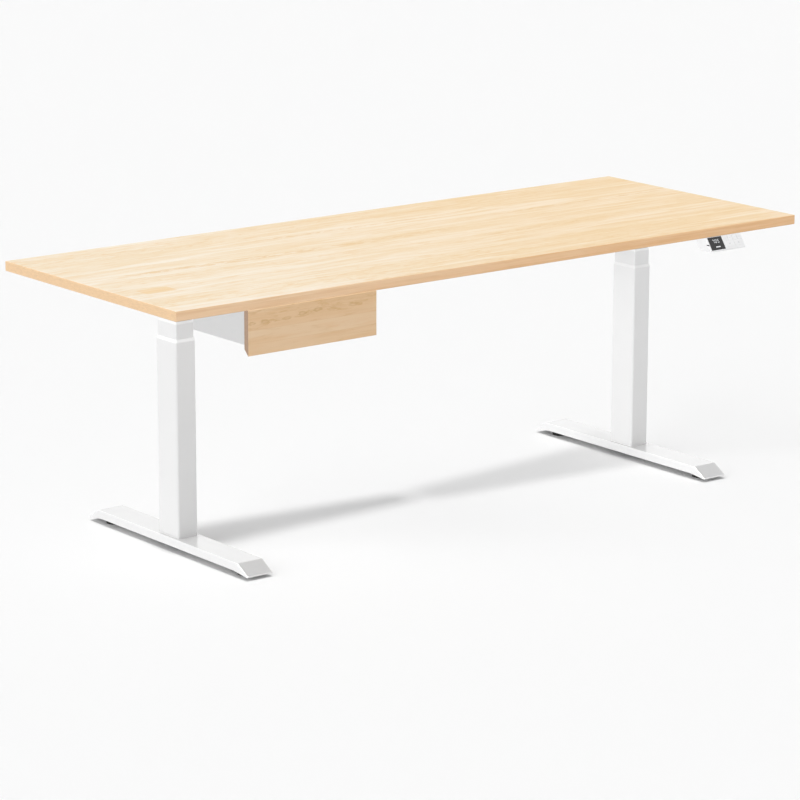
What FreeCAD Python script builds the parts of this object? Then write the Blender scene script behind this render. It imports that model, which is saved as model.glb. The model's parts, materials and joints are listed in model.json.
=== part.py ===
import FreeCAD, Part
import math
import os

# Height adjustable standing desk.
#
# A wide board stands on two three-stage lifting columns with long feet. A motor in the head of each
# column turns a pair of lead screws, which push the middle and inner tubes out of the outer tube
# together. A shallow drawer hangs under the board at the front left, and a small hand controller
# sits under its front edge at the right.
#
# Millimetres. +X is the user's right, -Y is the user's side and +Z is up. The origin is on the
# floor, under the centre of the whole object's box. The board is drawn a little above its lowest
# height, and every moving piece is drawn at its rest place.

V = FreeCAD.Vector

# The board
BOARD_LENGTH = 2000.0
BOARD_DEPTH = 750.0
BOARD_THICKNESS = 25.0
BOARD_TOP_Z = 698.0
BOARD_EDGE_ROUND = 2.0
CONTROLLER_OVERHANG = 20.0  # the controller's nose stands this far out past the front edge
BOARD_Y = CONTROLLER_OVERHANG / 2
BOARD_FRONT_Y = BOARD_Y - BOARD_DEPTH / 2
UNDERSIDE_Z = BOARD_TOP_Z - BOARD_THICKNESS

# The legs
LEG_X = 750.0
LEG_Y = BOARD_Y - 6.0
LOWER_ROOM = 73.0  # how far the board still goes down from here
STAGE_ROOM = LOWER_ROOM / 2  # each of the two moving stages makes half of the way
SIDES = (("left", -1), ("right", 1))

# The feet: pressed channels with sloping ends
FOOT_WIDTH = 76.0
FOOT_HALF_LENGTH = 347.0
FOOT_HALF_TOP = 305.5
FOOT_HALF_FLANGE = 291.0  # the flange's lower edge turns down towards the tip here
FOOT_TOP_Z = 36.0
FOOT_FLANGE_Z = 15.0
FOOT_LIP_TOP_Z = 11.0
FOOT_LIP_BOTTOM_Z = 8.5
FOOT_SHEET = 2.5
FOOT_EDGE_ROUND = 2.4
FOOT_PLATE_THICKNESS = 5.0

# The levelling glides
GLIDE_OFFSET_Y = 289.0
GLIDE_RADIUS = 21.0
GLIDE_PAD_HEIGHT = 7.0
GLIDE_HEX_HEIGHT = 4.0
GLIDE_STUD_RADIUS = 4.0
GLIDE_STUD_TOP_Z = 31.0
GLIDE_BRACKET_Z = 21.0
RUNNING_GAP = 0.08

# The telescopic tubes, outer size in X and Y, corner radius and wall
OUTER_TUBE = (59.0, 87.0, 6.0, 2.0)
MIDDLE_TUBE = (53.6, 81.6, 4.6, 1.8)
INNER_TUBE = (48.6, 76.6, 3.4, 1.8)
OUTER_TUBE_TOP_Z = 533.0
OUTER_COLLAR_HEIGHT = 8.0
MIDDLE_COLLAR_HEIGHT = 6.0
COLLAR_LIP = 1.0  # the collar's upright rim, below its sloping part
COLLAR_TAPER = 1.6
COLLAR_GAP = 0.35
MIDDLE_TUBE_BOTTOM_Z = 86.5
MIDDLE_TUBE_TOP_Z = OUTER_TUBE_TOP_Z + OUTER_COLLAR_HEIGHT + STAGE_ROOM + 1.0
INNER_TUBE_BOTTOM_Z = 133.0
INNER_TUBE_TOP_Z = 622.0

# The lead screws, one inside the other, with a post and a stem that carry their nuts
BASE_PLATE_THICKNESS = 6.0
POST_RADIUS = 13.0
POST_BORE_RADIUS = 11.0
POST_TOP_Z = 455.0
NUT_HEIGHT = 20.0
STEM_RADIUS = 17.0
STEM_BORE_RADIUS = 15.0
STEM_TOP_Z = 540.0
STEM_PLATE_THICKNESS = 4.0
LOWER_SCREW_RADIUS = 9.0
LOWER_SCREW_BORE_RADIUS = 6.5
LOWER_SCREW_BOTTOM_Z = 130.0
LOWER_SCREW_HEAD_RADIUS = 14.5
LOWER_SCREW_HEAD_HEIGHT = 10.0
BEARING_HEIGHT = 10.0
UPPER_SCREW_RADIUS = 6.0
UPPER_SCREW_BOTTOM_Z = 230.0
UPPER_SCREW_TOP_Z = 640.0

# The frame under the board
RAIL_WIDTH = 30.0
RAIL_HEIGHT = 34.0
RAIL_WALL = 2.0
RAIL_HALF_LENGTH = 790.0
BRACKET_SHEET = 3.0
BRACKET_WIDTH = 64.0
BRACKET_FLANGE = 18.0
BRACKET_FRONT_REACH = 128.0
BRACKET_REAR_REACH = 296.0
RAIL_TOP_Z = UNDERSIDE_Z - BRACKET_SHEET
RAIL_BOTTOM_Z = RAIL_TOP_Z - RAIL_HEIGHT
GEARBOX_WIDTH = 56.0
GEARBOX_DEPTH = 84.0
GEARBOX_PLUG_LENGTH = 20.0
RAIL_OFFSET_Y = GEARBOX_DEPTH / 2 + RAIL_WIDTH / 2
MOTOR_RADIUS = 21.0
MOTOR_LENGTH = 122.0
MOTOR_FLANGE = 6.0
MOTOR_CAP_LENGTH = 8.0
MOTOR_Z = 646.0

# The control box between the rails
BOX_HALF_LENGTH = 125.0
BOX_DEPTH = 80.0
BOX_BOTTOM_Z = 635.0
BOX_TOP_Z = 668.0
BOX_WALL = 2.0

# The leads
LEAD_DIAMETER = 5.0
LEAD_RUN_Z = UNDERSIDE_Z - 6.0
LEAD_ENTRY_Z = 650.0  # where the leads reach the control box
MOTOR_LEAD_Y = LEG_Y + 20.0
HANDSET_LEAD_Y = -100.0
CLIP_XS = (240.0, 360.0, 480.0)
HANDSET_CLIP_XS = (400.0, 500.0, 600.0)
CLIP_WIDTH = 12.0

# The drawer
DRAWER_X0 = -794.0
DRAWER_X1 = -411.0
DRAWER_FRONT_THICKNESS = 16.0
DRAWER_FRONT_BOTTOM_Z = 562.0
DRAWER_FRONT_TOP_Z = UNDERSIDE_Z - 0.5
CASE_INSET = 4.0
CASE_BOTTOM_Z = 586.0
CASE_REAR_Y = BOARD_Y - 141.0
CASE_SHEET = 1.5
CASE_FLANGE = 15.0
SLIDE_WIDTH = 12.5
SLIDE_SHEET = 1.2
SLIDE_BOTTOM_Z = 607.0
SLIDE_GAP = 2.2  # between one member and the next
SLIDE_HEIGHT = 35.0
SLIDE_LENGTH = 200.0
TRAY_BOTTOM_Z = 594.0
TRAY_TOP_Z = 656.0

# The hand controller
HANDSET_X0 = 678.0
HANDSET_X1 = 802.0
HANDSET_FACE_TOP_Y = BOARD_FRONT_Y + 3.0
HANDSET_LEAN = math.radians(34.5)  # the face leans this far back from upright
HANDSET_NOSE_RADIUS = 2.0
HANDSET_WALL = 2.0
HANDSET_REAR_Y = HANDSET_FACE_TOP_Y + 34.0
HANDSET_END_ROUND = 2.4
HANDSET_REAR_CUT = (16.0, 18.0)  # the underside's rear corner is cut off, this far in Y and Z
HANDSET_FLANGE_DEPTH = 18.0
HANDSET_FLANGE_THICKNESS = 2.5
PORT_Y = BOARD_FRONT_Y - 6.5  # the service port in the left end
PORT_Z = 654.0
PORT_DEPTH = 9.0
PORT_HEIGHT = 3.0
WINDOW_X0 = 683.0
WINDOW_X1 = 732.0
WINDOW_HALF_HEIGHT = 18.5
KEYS_X0 = 736.4
KEYS_X1 = 798.6
KEY_GAP = 2.0
KEY_CLEARANCE = 0.35
KEY_PROUD = 0.8
KEY_FLANGE = 0.9
UPPER_KEYS = (3.0, 17.0)  # lower and upper edge of the row, up the face from its middle
LOWER_KEYS = (-13.2, 1.0)

# Fasteners
SCREW_RADIUS = 2.0
SCREW_HEAD_RADIUS = 4.2
SCREW_HEAD_HEIGHT = 2.4
SCREW_BITE = 15.0
BOLT_RADIUS = 3.9
BOLT_THREAD_RADIUS = 4.0
BOLT_HOLE_RADIUS = 4.2
BOLT_HEAD_RADIUS = 6.5
BOLT_HEAD_HEIGHT = 5.0
FRAME_BOLT_RADIUS = 3.0
FRAME_BOLT_HEAD_RADIUS = 5.5
FRAME_BOLT_HEAD_HEIGHT = 4.0
FRAME_BOLT_BITE = 12.0  # how deep it goes into the gearbox

os.makedirs("parts", exist_ok=True)


def save(node, *solids):
    """Writes one node, as one solid or a group of separate ones."""
    shape = solids[0] if len(solids) == 1 else Part.makeCompound(list(solids))
    shape.exportStep(f"parts/{node}.step")


def box(x0, x1, y0, y1, z0, z1):
    low = V(min(x0, x1), min(y0, y1), min(z0, z1))
    return Part.makeBox(abs(x1 - x0), abs(y1 - y0), abs(z1 - z0), low)


def rod(radius, x, y, z0, z1):
    """An upright cylinder."""
    return Part.makeCylinder(radius, z1 - z0, V(x, y, z0))


def pipe(radius, bore, x, y, z0, z1):
    return rod(radius, x, y, z0, z1).cut(rod(bore, x, y, z0 - 1, z1 + 1))


def hexagon(across_flats, x, y, z0, z1):
    corner = across_flats / math.sqrt(3)
    points = []
    for n in range(7):
        turn = math.radians(60 * n)
        points.append(V(x + corner * math.cos(turn), y + corner * math.sin(turn), z0))
    return Part.Face(Part.makePolygon(points)).extrude(V(0, 0, z1 - z0))


def prism_along_x(points, x0, x1):
    """A prism whose outline is given as (y, z) points."""
    corners = [V(x0, y, z) for y, z in points]
    return Part.Face(Part.makePolygon(corners + corners[:1])).extrude(V(x1 - x0, 0, 0))


def rounded_prism(width, depth, radius, x, y, z0, z1):
    """An upright prism with rounded vertical edges."""
    block = box(x - width / 2, x + width / 2, y - depth / 2, y + depth / 2, z0, z1)
    upright = [e for e in block.Edges if abs(e.Vertexes[0].Z - e.Vertexes[-1].Z) > 0.5 * (z1 - z0)]
    return block.makeFillet(radius, upright)


def rectangular_tube(size, x, y, z0, z1):
    width, depth, radius, wall = size
    outside = rounded_prism(width, depth, radius, x, y, z0, z1)
    bore = rounded_prism(width - 2 * wall, depth - 2 * wall, radius - wall, x, y, z0 - 1, z1 + 1)
    return outside.cut(bore)


def without(shape, cutters):
    return shape.cut(Part.makeCompound(cutters))


def screw_holes(places, z0, z1):
    """Clearance holes for the wood screws at the given (x, y) places."""
    return [rod(SCREW_RADIUS + 0.4, x, y, z0, z1) for x, y in places]


# ---------------------------------------------------------------- feet and glides
def foot_outline(half_top, half_length, top_z, lip_top_z, lip_bottom_z, half_flange, flange_z):
    half = [(half_top, top_z), (half_length, lip_top_z), (half_length, lip_bottom_z), (half_flange, flange_z)]
    mirrored = [(-y, z) for y, z in reversed(half)]
    return [(LEG_Y + y, z) for y, z in half + mirrored]


def foot(x):
    outline = foot_outline(
        FOOT_HALF_TOP, FOOT_HALF_LENGTH, FOOT_TOP_Z, FOOT_LIP_TOP_Z, FOOT_LIP_BOTTOM_Z,
        FOOT_HALF_FLANGE, FOOT_FLANGE_Z,
    )
    body = prism_along_x(outline, x - FOOT_WIDTH / 2, x + FOOT_WIDTH / 2)
    # the long top edges, the sloping ends' edges and the bends between top and ends are rounded
    soft = []
    for edge in body.Edges:
        middle = edge.valueAt((edge.FirstParameter + edge.LastParameter) / 2)
        if middle.z > FOOT_FLANGE_Z + 2:
            soft.append(edge)
    body = body.makeFillet(FOOT_EDGE_ROUND, soft)
    # the hollow under it follows the top and the ends, one sheet thickness inside
    run = FOOT_HALF_LENGTH - FOOT_HALF_TOP
    drop = FOOT_TOP_Z - FOOT_LIP_TOP_Z
    slope_length = math.hypot(run, drop)
    hollow_top_z = FOOT_TOP_Z - FOOT_SHEET
    hollow_half_top = FOOT_HALF_TOP + FOOT_SHEET * (run - slope_length) / drop
    hollow_end = FOOT_HALF_LENGTH - 2 * FOOT_SHEET
    hollow_end_z = hollow_top_z - (hollow_end - hollow_half_top) * drop / run
    hollow = [(hollow_half_top, hollow_top_z), (hollow_end, hollow_end_z), (hollow_end, 0)]
    hollow = hollow + [(-y, z) for y, z in reversed(hollow)]
    inside = FOOT_WIDTH / 2 - FOOT_SHEET
    body = body.cut(prism_along_x([(LEG_Y + y, z) for y, z in hollow], x - inside, x + inside))
    holes = [rod(BOLT_HOLE_RADIUS, bx, by, 0, FOOT_TOP_Z + 1) for bx, by in bolt_places(x)]
    return without(body, holes)


def bolt_places(x):
    """The four bolts that join a column to its foot."""
    return [(x + dx, LEG_Y + dy) for dx in (-18, 18) for dy in (-30, 30)]


def foot_plate(x):
    top_z = FOOT_TOP_Z - FOOT_SHEET
    half = FOOT_WIDTH / 2 - FOOT_SHEET - 1
    plate = box(x - half, x + half, LEG_Y - 55, LEG_Y + 55, top_z - FOOT_PLATE_THICKNESS, top_z)
    return without(plate, [rod(BOLT_HOLE_RADIUS, bx, by, 0, FOOT_TOP_Z) for bx, by in bolt_places(x)])


def column_bolt(x, y):
    head_top_z = FOOT_TOP_Z - FOOT_SHEET - FOOT_PLATE_THICKNESS
    head = rod(BOLT_HEAD_RADIUS, x, y, head_top_z - BOLT_HEAD_HEIGHT, head_top_z)
    key = hexagon(5.0, x, y, head_top_z - BOLT_HEAD_HEIGHT - 1, head_top_z - 2)
    shank = rod(BOLT_RADIUS, x, y, head_top_z, FOOT_TOP_Z + BASE_PLATE_THICKNESS - 0.5)
    return head.cut(key).fuse(shank)


def glide_bracket(x, y):
    """A bridge across the foot's channel with a nut on it for the glide's stud."""
    half = FOOT_WIDTH / 2 - FOOT_SHEET
    bridge = box(x - half, x + half, y - 13, y + 13, GLIDE_BRACKET_Z, GLIDE_BRACKET_Z + 3)
    nut = hexagon(13.0, x, y, GLIDE_BRACKET_Z + 3, GLIDE_BRACKET_Z + 9)
    return bridge.fuse(nut).cut(rod(GLIDE_STUD_RADIUS + RUNNING_GAP, x, y, 0, FOOT_TOP_Z))


def glide(x, y):
    """A round levelling glide: a domed pad, a hexagon for the spanner and a stud."""
    pad = rod(GLIDE_RADIUS, x, y, 0, GLIDE_PAD_HEIGHT)
    rim = [e for e in pad.Edges if isinstance(e.Curve, Part.Circle) and e.CenterOfMass.z > 1]
    pad = pad.makeFillet(3.0, rim)
    hexed = hexagon(17.0, x, y, GLIDE_PAD_HEIGHT, GLIDE_PAD_HEIGHT + GLIDE_HEX_HEIGHT)
    stud = rod(GLIDE_STUD_RADIUS, x, y, GLIDE_PAD_HEIGHT + GLIDE_HEX_HEIGHT, GLIDE_STUD_TOP_Z)
    return pad.fuse(hexed).fuse(stud)


glide_places = {}
for side, sign in SIDES:
    for end, way in (("front", -1), ("rear", 1)):
        glide_places[f"glide_{side}_{end}"] = (sign * LEG_X, LEG_Y + way * GLIDE_OFFSET_Y)
for node, (x, y) in glide_places.items():
    save(node, glide(x, y))
save("glide_brackets", *[glide_bracket(x, y) for x, y in glide_places.values()])

for side, sign in SIDES:
    save(f"foot_{side}", foot(sign * LEG_X))
leg_xs = [sign * LEG_X for side, sign in SIDES]
save("foot_plates", *[foot_plate(x) for x in leg_xs])
save("column_bolts", *[column_bolt(bx, by) for x in leg_xs for bx, by in bolt_places(x)])


# ---------------------------------------------------------------- telescopic columns
def rounded_outline(width, depth, radius, x, z):
    prism = rounded_prism(width, depth, radius, x, LEG_Y, z, z + 1)
    return min(prism.Faces, key=lambda face: face.CenterOfMass.z).OuterWire


def collar(tube, hole, x, z0, height):
    """A ring on a tube's mouth that wipes the tube inside it: an upright lip, then a taper."""
    width, depth, radius, wall = tube
    lip = rounded_prism(width, depth, radius, x, LEG_Y, z0, z0 + COLLAR_LIP)
    low = rounded_outline(width, depth, radius, x, z0 + COLLAR_LIP)
    mouth = (width - 2 * COLLAR_TAPER, depth - 2 * COLLAR_TAPER, radius - COLLAR_TAPER)
    high = rounded_outline(*mouth, x, z0 + height)
    ring = lip.fuse(Part.makeLoft([low, high], True, True)).removeSplitter()
    hole_x = hole[0] + 2 * COLLAR_GAP
    hole_y = hole[1] + 2 * COLLAR_GAP
    return ring.cut(rounded_prism(hole_x, hole_y, hole[2], x, LEG_Y, z0 - 1, z0 + height + 1))


def spindle_post(x):
    """The plate in the outer tube's foot, with the post that carries the lower nut."""
    width = OUTER_TUBE[0] - 2 * OUTER_TUBE[3]
    depth = OUTER_TUBE[1] - 2 * OUTER_TUBE[3]
    plate_top_z = FOOT_TOP_Z + BASE_PLATE_THICKNESS
    plate = rounded_prism(width, depth, OUTER_TUBE[2] - OUTER_TUBE[3], x, LEG_Y, FOOT_TOP_Z, plate_top_z)
    post = pipe(POST_RADIUS, POST_BORE_RADIUS, x, LEG_Y, plate_top_z, POST_TOP_Z)
    holes = [rod(BOLT_THREAD_RADIUS, bx, by, 0, plate_top_z + 1) for bx, by in bolt_places(x)]
    return without(plate, holes).fuse(post)


def middle_stem(x):
    """The plate in the middle tube's foot, with the stem that carries the upper nut."""
    width = MIDDLE_TUBE[0] - 2 * MIDDLE_TUBE[3]
    depth = MIDDLE_TUBE[1] - 2 * MIDDLE_TUBE[3]
    z0 = MIDDLE_TUBE_BOTTOM_Z
    z1 = z0 + STEM_PLATE_THICKNESS
    plate = rounded_prism(width, depth, MIDDLE_TUBE[2] - MIDDLE_TUBE[3], x, LEG_Y, z0, z1)
    plate = plate.cut(rod(STEM_BORE_RADIUS, x, LEG_Y, z0 - 1, z1 + 1))
    return plate.fuse(pipe(STEM_RADIUS, STEM_BORE_RADIUS, x, LEG_Y, z1, STEM_TOP_Z))


def middle_nut(x):
    """The upper nut on the stem's end, and the ring that the lower screw hangs on."""
    bore = UPPER_SCREW_RADIUS + RUNNING_GAP
    nut = pipe(STEM_RADIUS, bore, x, LEG_Y, STEM_TOP_Z, STEM_TOP_Z + NUT_HEIGHT)
    ring_top_z = STEM_TOP_Z - LOWER_SCREW_HEAD_HEIGHT - 0.6
    bore = LOWER_SCREW_RADIUS + RUNNING_GAP
    ring = pipe(STEM_BORE_RADIUS, bore, x, LEG_Y, ring_top_z - BEARING_HEIGHT, ring_top_z)
    return nut, ring


def lower_screw(x):
    top_z = STEM_TOP_Z - 0.3
    thread = rod(LOWER_SCREW_RADIUS, x, LEG_Y, LOWER_SCREW_BOTTOM_Z, top_z)
    head = rod(LOWER_SCREW_HEAD_RADIUS, x, LEG_Y, top_z - LOWER_SCREW_HEAD_HEIGHT, top_z)
    bore = rod(LOWER_SCREW_BORE_RADIUS, x, LEG_Y, LOWER_SCREW_BOTTOM_Z - 1, top_z + 1)
    return thread.fuse(head).cut(bore)


outer_collars = []
for side, sign in SIDES:
    x = sign * LEG_X
    save(f"{side}_outer_column", rectangular_tube(OUTER_TUBE, x, LEG_Y, FOOT_TOP_Z, OUTER_TUBE_TOP_Z))
    outer_collars.append(collar(OUTER_TUBE, MIDDLE_TUBE, x, OUTER_TUBE_TOP_Z, OUTER_COLLAR_HEIGHT))
    middle = rectangular_tube(MIDDLE_TUBE, x, LEG_Y, MIDDLE_TUBE_BOTTOM_Z, MIDDLE_TUBE_TOP_Z)
    save(f"{side}_middle_column", middle)
    middle_collar = collar(MIDDLE_TUBE, INNER_TUBE, x, MIDDLE_TUBE_TOP_Z, MIDDLE_COLLAR_HEIGHT)
    save(f"{side}_middle_collar", middle_collar)
    save(f"{side}_middle_stem", middle_stem(x))
    save(f"{side}_middle_nut", *middle_nut(x))
    save(f"{side}_lower_screw", lower_screw(x))
    save(f"{side}_upper_screw", rod(UPPER_SCREW_RADIUS, x, LEG_Y, UPPER_SCREW_BOTTOM_Z, UPPER_SCREW_TOP_Z))
    inner = rectangular_tube(INNER_TUBE, x, LEG_Y, INNER_TUBE_BOTTOM_Z, INNER_TUBE_TOP_Z)
    save(f"{side}_inner_column", inner)
save("outer_collars", *outer_collars)
save("spindle_posts", *[spindle_post(x) for x in leg_xs])
base_nut = (POST_RADIUS, LOWER_SCREW_RADIUS + RUNNING_GAP)
save("base_nuts", *[pipe(*base_nut, x, LEG_Y, POST_TOP_Z, POST_TOP_Z + NUT_HEIGHT) for x in leg_xs])


# ---------------------------------------------------------------- frame under the board
FRAME_BOLT_Z = RAIL_BOTTOM_Z + RAIL_HEIGHT / 2


def frame_bolt_places():
    """Each frame bolt's x, and the way it points: -1 for the front rail and 1 for the rear one."""
    return [(x + dx, way) for x in leg_xs for dx in (-16, 16) for way in (-1, 1)]


def across(radius, x, y0, y1):
    """A rod along Y at the frame bolts' height."""
    return Part.makeCylinder(radius, abs(y1 - y0), V(x, min(y0, y1), FRAME_BOLT_Z), V(0, 1, 0))


def frame_bolt(x, way):
    outer_y = LEG_Y + way * (RAIL_OFFSET_Y + RAIL_WIDTH / 2)
    inner_y = LEG_Y + way * (GEARBOX_DEPTH / 2 - FRAME_BOLT_BITE)
    shank = across(FRAME_BOLT_RADIUS, x, inner_y, outer_y)
    return shank.fuse(across(FRAME_BOLT_HEAD_RADIUS, x, outer_y, outer_y + way * FRAME_BOLT_HEAD_HEIGHT))


def rail(way):
    """A closed box rail along the desk, with holes for the bolts that hold the gearboxes."""
    y = LEG_Y + way * RAIL_OFFSET_Y
    half = RAIL_WIDTH / 2
    outside = box(-RAIL_HALF_LENGTH, RAIL_HALF_LENGTH, y - half, y + half, RAIL_BOTTOM_Z, RAIL_TOP_Z)
    long_edges = [e for e in outside.Edges if e.Length > RAIL_HALF_LENGTH]
    outside = outside.makeFillet(3.0, long_edges)
    bore = half - RAIL_WALL
    reach = RAIL_HALF_LENGTH + 1
    bore_low = RAIL_BOTTOM_Z + RAIL_WALL
    outside = outside.cut(box(-reach, reach, y - bore, y + bore, bore_low, RAIL_TOP_Z - RAIL_WALL))
    hole = FRAME_BOLT_RADIUS + 0.2
    return without(outside, [across(hole, x, y - RAIL_WIDTH, y + RAIL_WIDTH) for x, w in frame_bolt_places()])


def side_bracket_screws(x):
    """The screws that hold a side bracket to the board, as (x, y) places."""
    front = LEG_Y - BRACKET_FRONT_REACH + 14
    rear = LEG_Y + BRACKET_REAR_REACH - 14
    return [(x + dx, y) for dx in (-16, 16) for y in (front, LEG_Y + 110, LEG_Y + 190, rear)]


def side_bracket(x):
    """A pressed arm across the board, flat on top, with turned-down flanges outside the rails."""
    half = BRACKET_WIDTH / 2
    front = LEG_Y - BRACKET_FRONT_REACH
    rear = LEG_Y + BRACKET_REAR_REACH
    clear_of_rails = RAIL_OFFSET_Y + RAIL_WIDTH / 2 + 4
    arm = box(x - half, x + half, front, rear, RAIL_TOP_Z, UNDERSIDE_Z)
    low_z = RAIL_TOP_Z - BRACKET_FLANGE
    for edge_x in (x - half, x + half - BRACKET_SHEET):
        inner_x = edge_x + BRACKET_SHEET
        arm = arm.fuse(box(edge_x, inner_x, front, LEG_Y - clear_of_rails, low_z, RAIL_TOP_Z))
        arm = arm.fuse(box(edge_x, inner_x, LEG_Y + clear_of_rails, rear, low_z, RAIL_TOP_Z))
    return without(arm.removeSplitter(), screw_holes(side_bracket_screws(x), 0, BOARD_TOP_Z))


def gearbox(x):
    """The leg's head: a housing over the inner tube's end, with the screw's bore from below."""
    half = GEARBOX_WIDTH / 2
    deep = GEARBOX_DEPTH / 2
    head = box(x - half, x + half, LEG_Y - deep, LEG_Y + deep, INNER_TUBE_TOP_Z, RAIL_TOP_Z - 1)
    upright = [e for e in head.Edges if abs(e.Vertexes[0].Z - e.Vertexes[-1].Z) > 10]
    head = head.makeFillet(4.0, upright)
    plug_x = INNER_TUBE[0] - 2 * INNER_TUBE[3] - 0.2
    plug_y = INNER_TUBE[1] - 2 * INNER_TUBE[3] - 0.2
    plug_z = INNER_TUBE_TOP_Z - GEARBOX_PLUG_LENGTH
    plug = rounded_prism(plug_x, plug_y, 1.5, x, LEG_Y, plug_z, INNER_TUBE_TOP_Z)
    holes = [rod(UPPER_SCREW_RADIUS + 1, x, LEG_Y, plug_z - 1, UPPER_SCREW_TOP_Z + 1)]
    for bolt_x, way in frame_bolt_places():
        inner_y = LEG_Y + way * (deep - FRAME_BOLT_BITE)
        holes.append(across(FRAME_BOLT_RADIUS + 0.05, bolt_x, inner_y, LEG_Y + way * (deep + 1)))
    return without(head.fuse(plug), holes)


def motor(x, sign):
    """A tube motor lying inwards from the leg's head, with a smaller end cap."""
    start = x - sign * GEARBOX_WIDTH / 2
    inwards = V(-sign, 0, 0)
    flange = Part.makeCylinder(MOTOR_RADIUS, MOTOR_FLANGE, V(start, LEG_Y, MOTOR_Z), inwards)
    can_start = V(start - sign * MOTOR_FLANGE, LEG_Y, MOTOR_Z)
    can = Part.makeCylinder(MOTOR_RADIUS - 1, MOTOR_LENGTH - MOTOR_FLANGE, can_start, inwards)
    cap_start = V(start - sign * MOTOR_LENGTH, LEG_Y, MOTOR_Z)
    cap = Part.makeCylinder(MOTOR_RADIUS - 6, MOTOR_CAP_LENGTH, cap_start, inwards)
    return flange.fuse(can).fuse(cap)


save("front_rail", rail(-1))
save("rear_rail", rail(1))
save("frame_bolts", *[frame_bolt(x, way) for x, way in frame_bolt_places()])
save("gearboxes", *[gearbox(x) for x in leg_xs])
screw_places = []
for side, sign in SIDES:
    x = sign * LEG_X
    save(f"{side}_side_bracket", side_bracket(x))
    save(f"{side}_motor", motor(x, sign))
    screw_places += [(sx, sy, RAIL_TOP_Z) for sx, sy in side_bracket_screws(x)]

# ---------------------------------------------------------------- control box
BOX_Y0 = LEG_Y - BOX_DEPTH / 2
BOX_Y1 = LEG_Y + BOX_DEPTH / 2
INLET_Y = LEG_Y - 12.0
INLET_Z = 651.0
INLET_HALF_WIDTH = 13.4
INLET_HALF_HEIGHT = 9.4


def inlet_block(x0, x1, by):
    """A block as large as the inlet's body, grown by a margin."""
    wide = INLET_HALF_WIDTH + by
    high = INLET_HALF_HEIGHT + by
    return box(x0, x1, INLET_Y - wide, INLET_Y + wide, INLET_Z - high, INLET_Z + high)


def control_box():
    """The lower shell, open on top, with the inlet's hole in its left end."""
    shell = box(-BOX_HALF_LENGTH, BOX_HALF_LENGTH, BOX_Y0, BOX_Y1, BOX_BOTTOM_Z, BOX_TOP_Z)
    low_edges = [e for e in shell.Edges if e.CenterOfMass.z < BOX_TOP_Z - 0.1]
    shell = shell.makeFillet(2.0, low_edges)
    inside_x = BOX_HALF_LENGTH - BOX_WALL
    floor_z = BOX_BOTTOM_Z + BOX_WALL
    inside_y = BOX_Y0 + BOX_WALL, BOX_Y1 - BOX_WALL
    shell = shell.cut(box(-inside_x, inside_x, *inside_y, floor_z, BOX_TOP_Z + 1))
    return shell.cut(inlet_block(-BOX_HALF_LENGTH - 1, -inside_x + 1, 0.1))


def box_screws():
    return [(x, LEG_Y + dy) for x in (-BOX_HALF_LENGTH - 9, BOX_HALF_LENGTH + 9) for dy in (-30, 30)]


def control_box_lid():
    """The lid, which also carries the ears that screw it to the board."""
    lid = box(-BOX_HALF_LENGTH, BOX_HALF_LENGTH, BOX_Y0, BOX_Y1, BOX_TOP_Z, BOX_TOP_Z + 2)
    for x, y in box_screws():
        inner_x = math.copysign(BOX_HALF_LENGTH - 10, x)
        outer_x = math.copysign(abs(x) + 8, x)
        lid = lid.fuse(box(inner_x, outer_x, y - 8, y + 8, BOX_TOP_Z + 2, UNDERSIDE_Z))
    return without(lid, screw_holes(box_screws(), BOX_TOP_Z - 1, UNDERSIDE_Z + 1))


def power_inlet():
    """A three-pin appliance inlet: a flanged body with a shaped recess and three pins."""
    x0 = -BOX_HALF_LENGTH
    wall = 1.6
    inlet = inlet_block(x0, x0 + 18, 0).fuse(inlet_block(x0 - 1.5, x0, 2.1))
    inlet = inlet.cut(inlet_block(x0 - 3, x0 + 14, -wall))
    for dy, dz in ((-7.0, -1.5), (0.0, 2.5), (7.0, -1.5)):
        y = INLET_Y + dy
        inlet = inlet.fuse(box(x0 + 2, x0 + 15, y - 1, y + 1, INLET_Z + dz - 2, INLET_Z + dz + 2))
    return inlet


def control_board():
    """The power board with a row of relays and a row of capacitors."""
    z0 = BOX_BOTTOM_Z + 6
    z1 = z0 + 1.6
    board = box(-100, BOX_HALF_LENGTH - 7, BOX_Y0 + 4, BOX_Y1 - 4, z0, z1)
    for x in (-70, -20, 30, 80):
        board = board.fuse(box(x, x + 26, LEG_Y - 12, LEG_Y + 22, z1, z0 + 18))
        board = board.fuse(rod(5, x + 12, LEG_Y - 24, z1, z0 + 20))
    return board


save("control_box", control_box())
save("control_box_lid", control_box_lid())
save("power_inlet", power_inlet())
save("control_board", control_board())
screw_places += [(x, y, BOX_TOP_Z + 2) for x, y in box_screws()]


# ---------------------------------------------------------------- leads
def lead(name, points):
    """A round lead along straight runs joined by tangent arcs."""
    points = [V(*p) for p in points]
    radii = []
    edges = []
    start = points[0]
    for before, corner, after in zip(points, points[1:], points[2:]):
        way_in = (corner - before).normalize()
        way_out = (after - corner).normalize()
        half_turn = way_in.getAngle(way_out) / 2
        setback = 0.45 * min((corner - before).Length, (after - corner).Length)
        radius = setback / math.tan(half_turn)
        inwards = (way_out - way_in).normalize()
        centre = corner + inwards * (radius / math.cos(half_turn))
        arc_start = corner - way_in * setback
        arc_end = corner + way_out * setback
        edges.append(Part.LineSegment(start, arc_start).toShape())
        edges.append(Part.Arc(arc_start, centre - inwards * radius, arc_end).toShape())
        radii.append(round(radius))
        start = arc_end
    edges.append(Part.LineSegment(start, points[-1]).toShape())
    path = Part.Wire(edges)
    ring = Part.Wire(Part.makeCircle(LEAD_DIAMETER / 2, points[0], points[1] - points[0]))
    solid = path.makePipeShell([ring], True, False)
    share = solid.Volume / (path.Length * math.pi * LEAD_DIAMETER**2 / 4)
    print(f"{name}: length {path.Length:.0f}, radii {radii}, volume as a share of a straight one {share:.4f}")
    return solid


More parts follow.
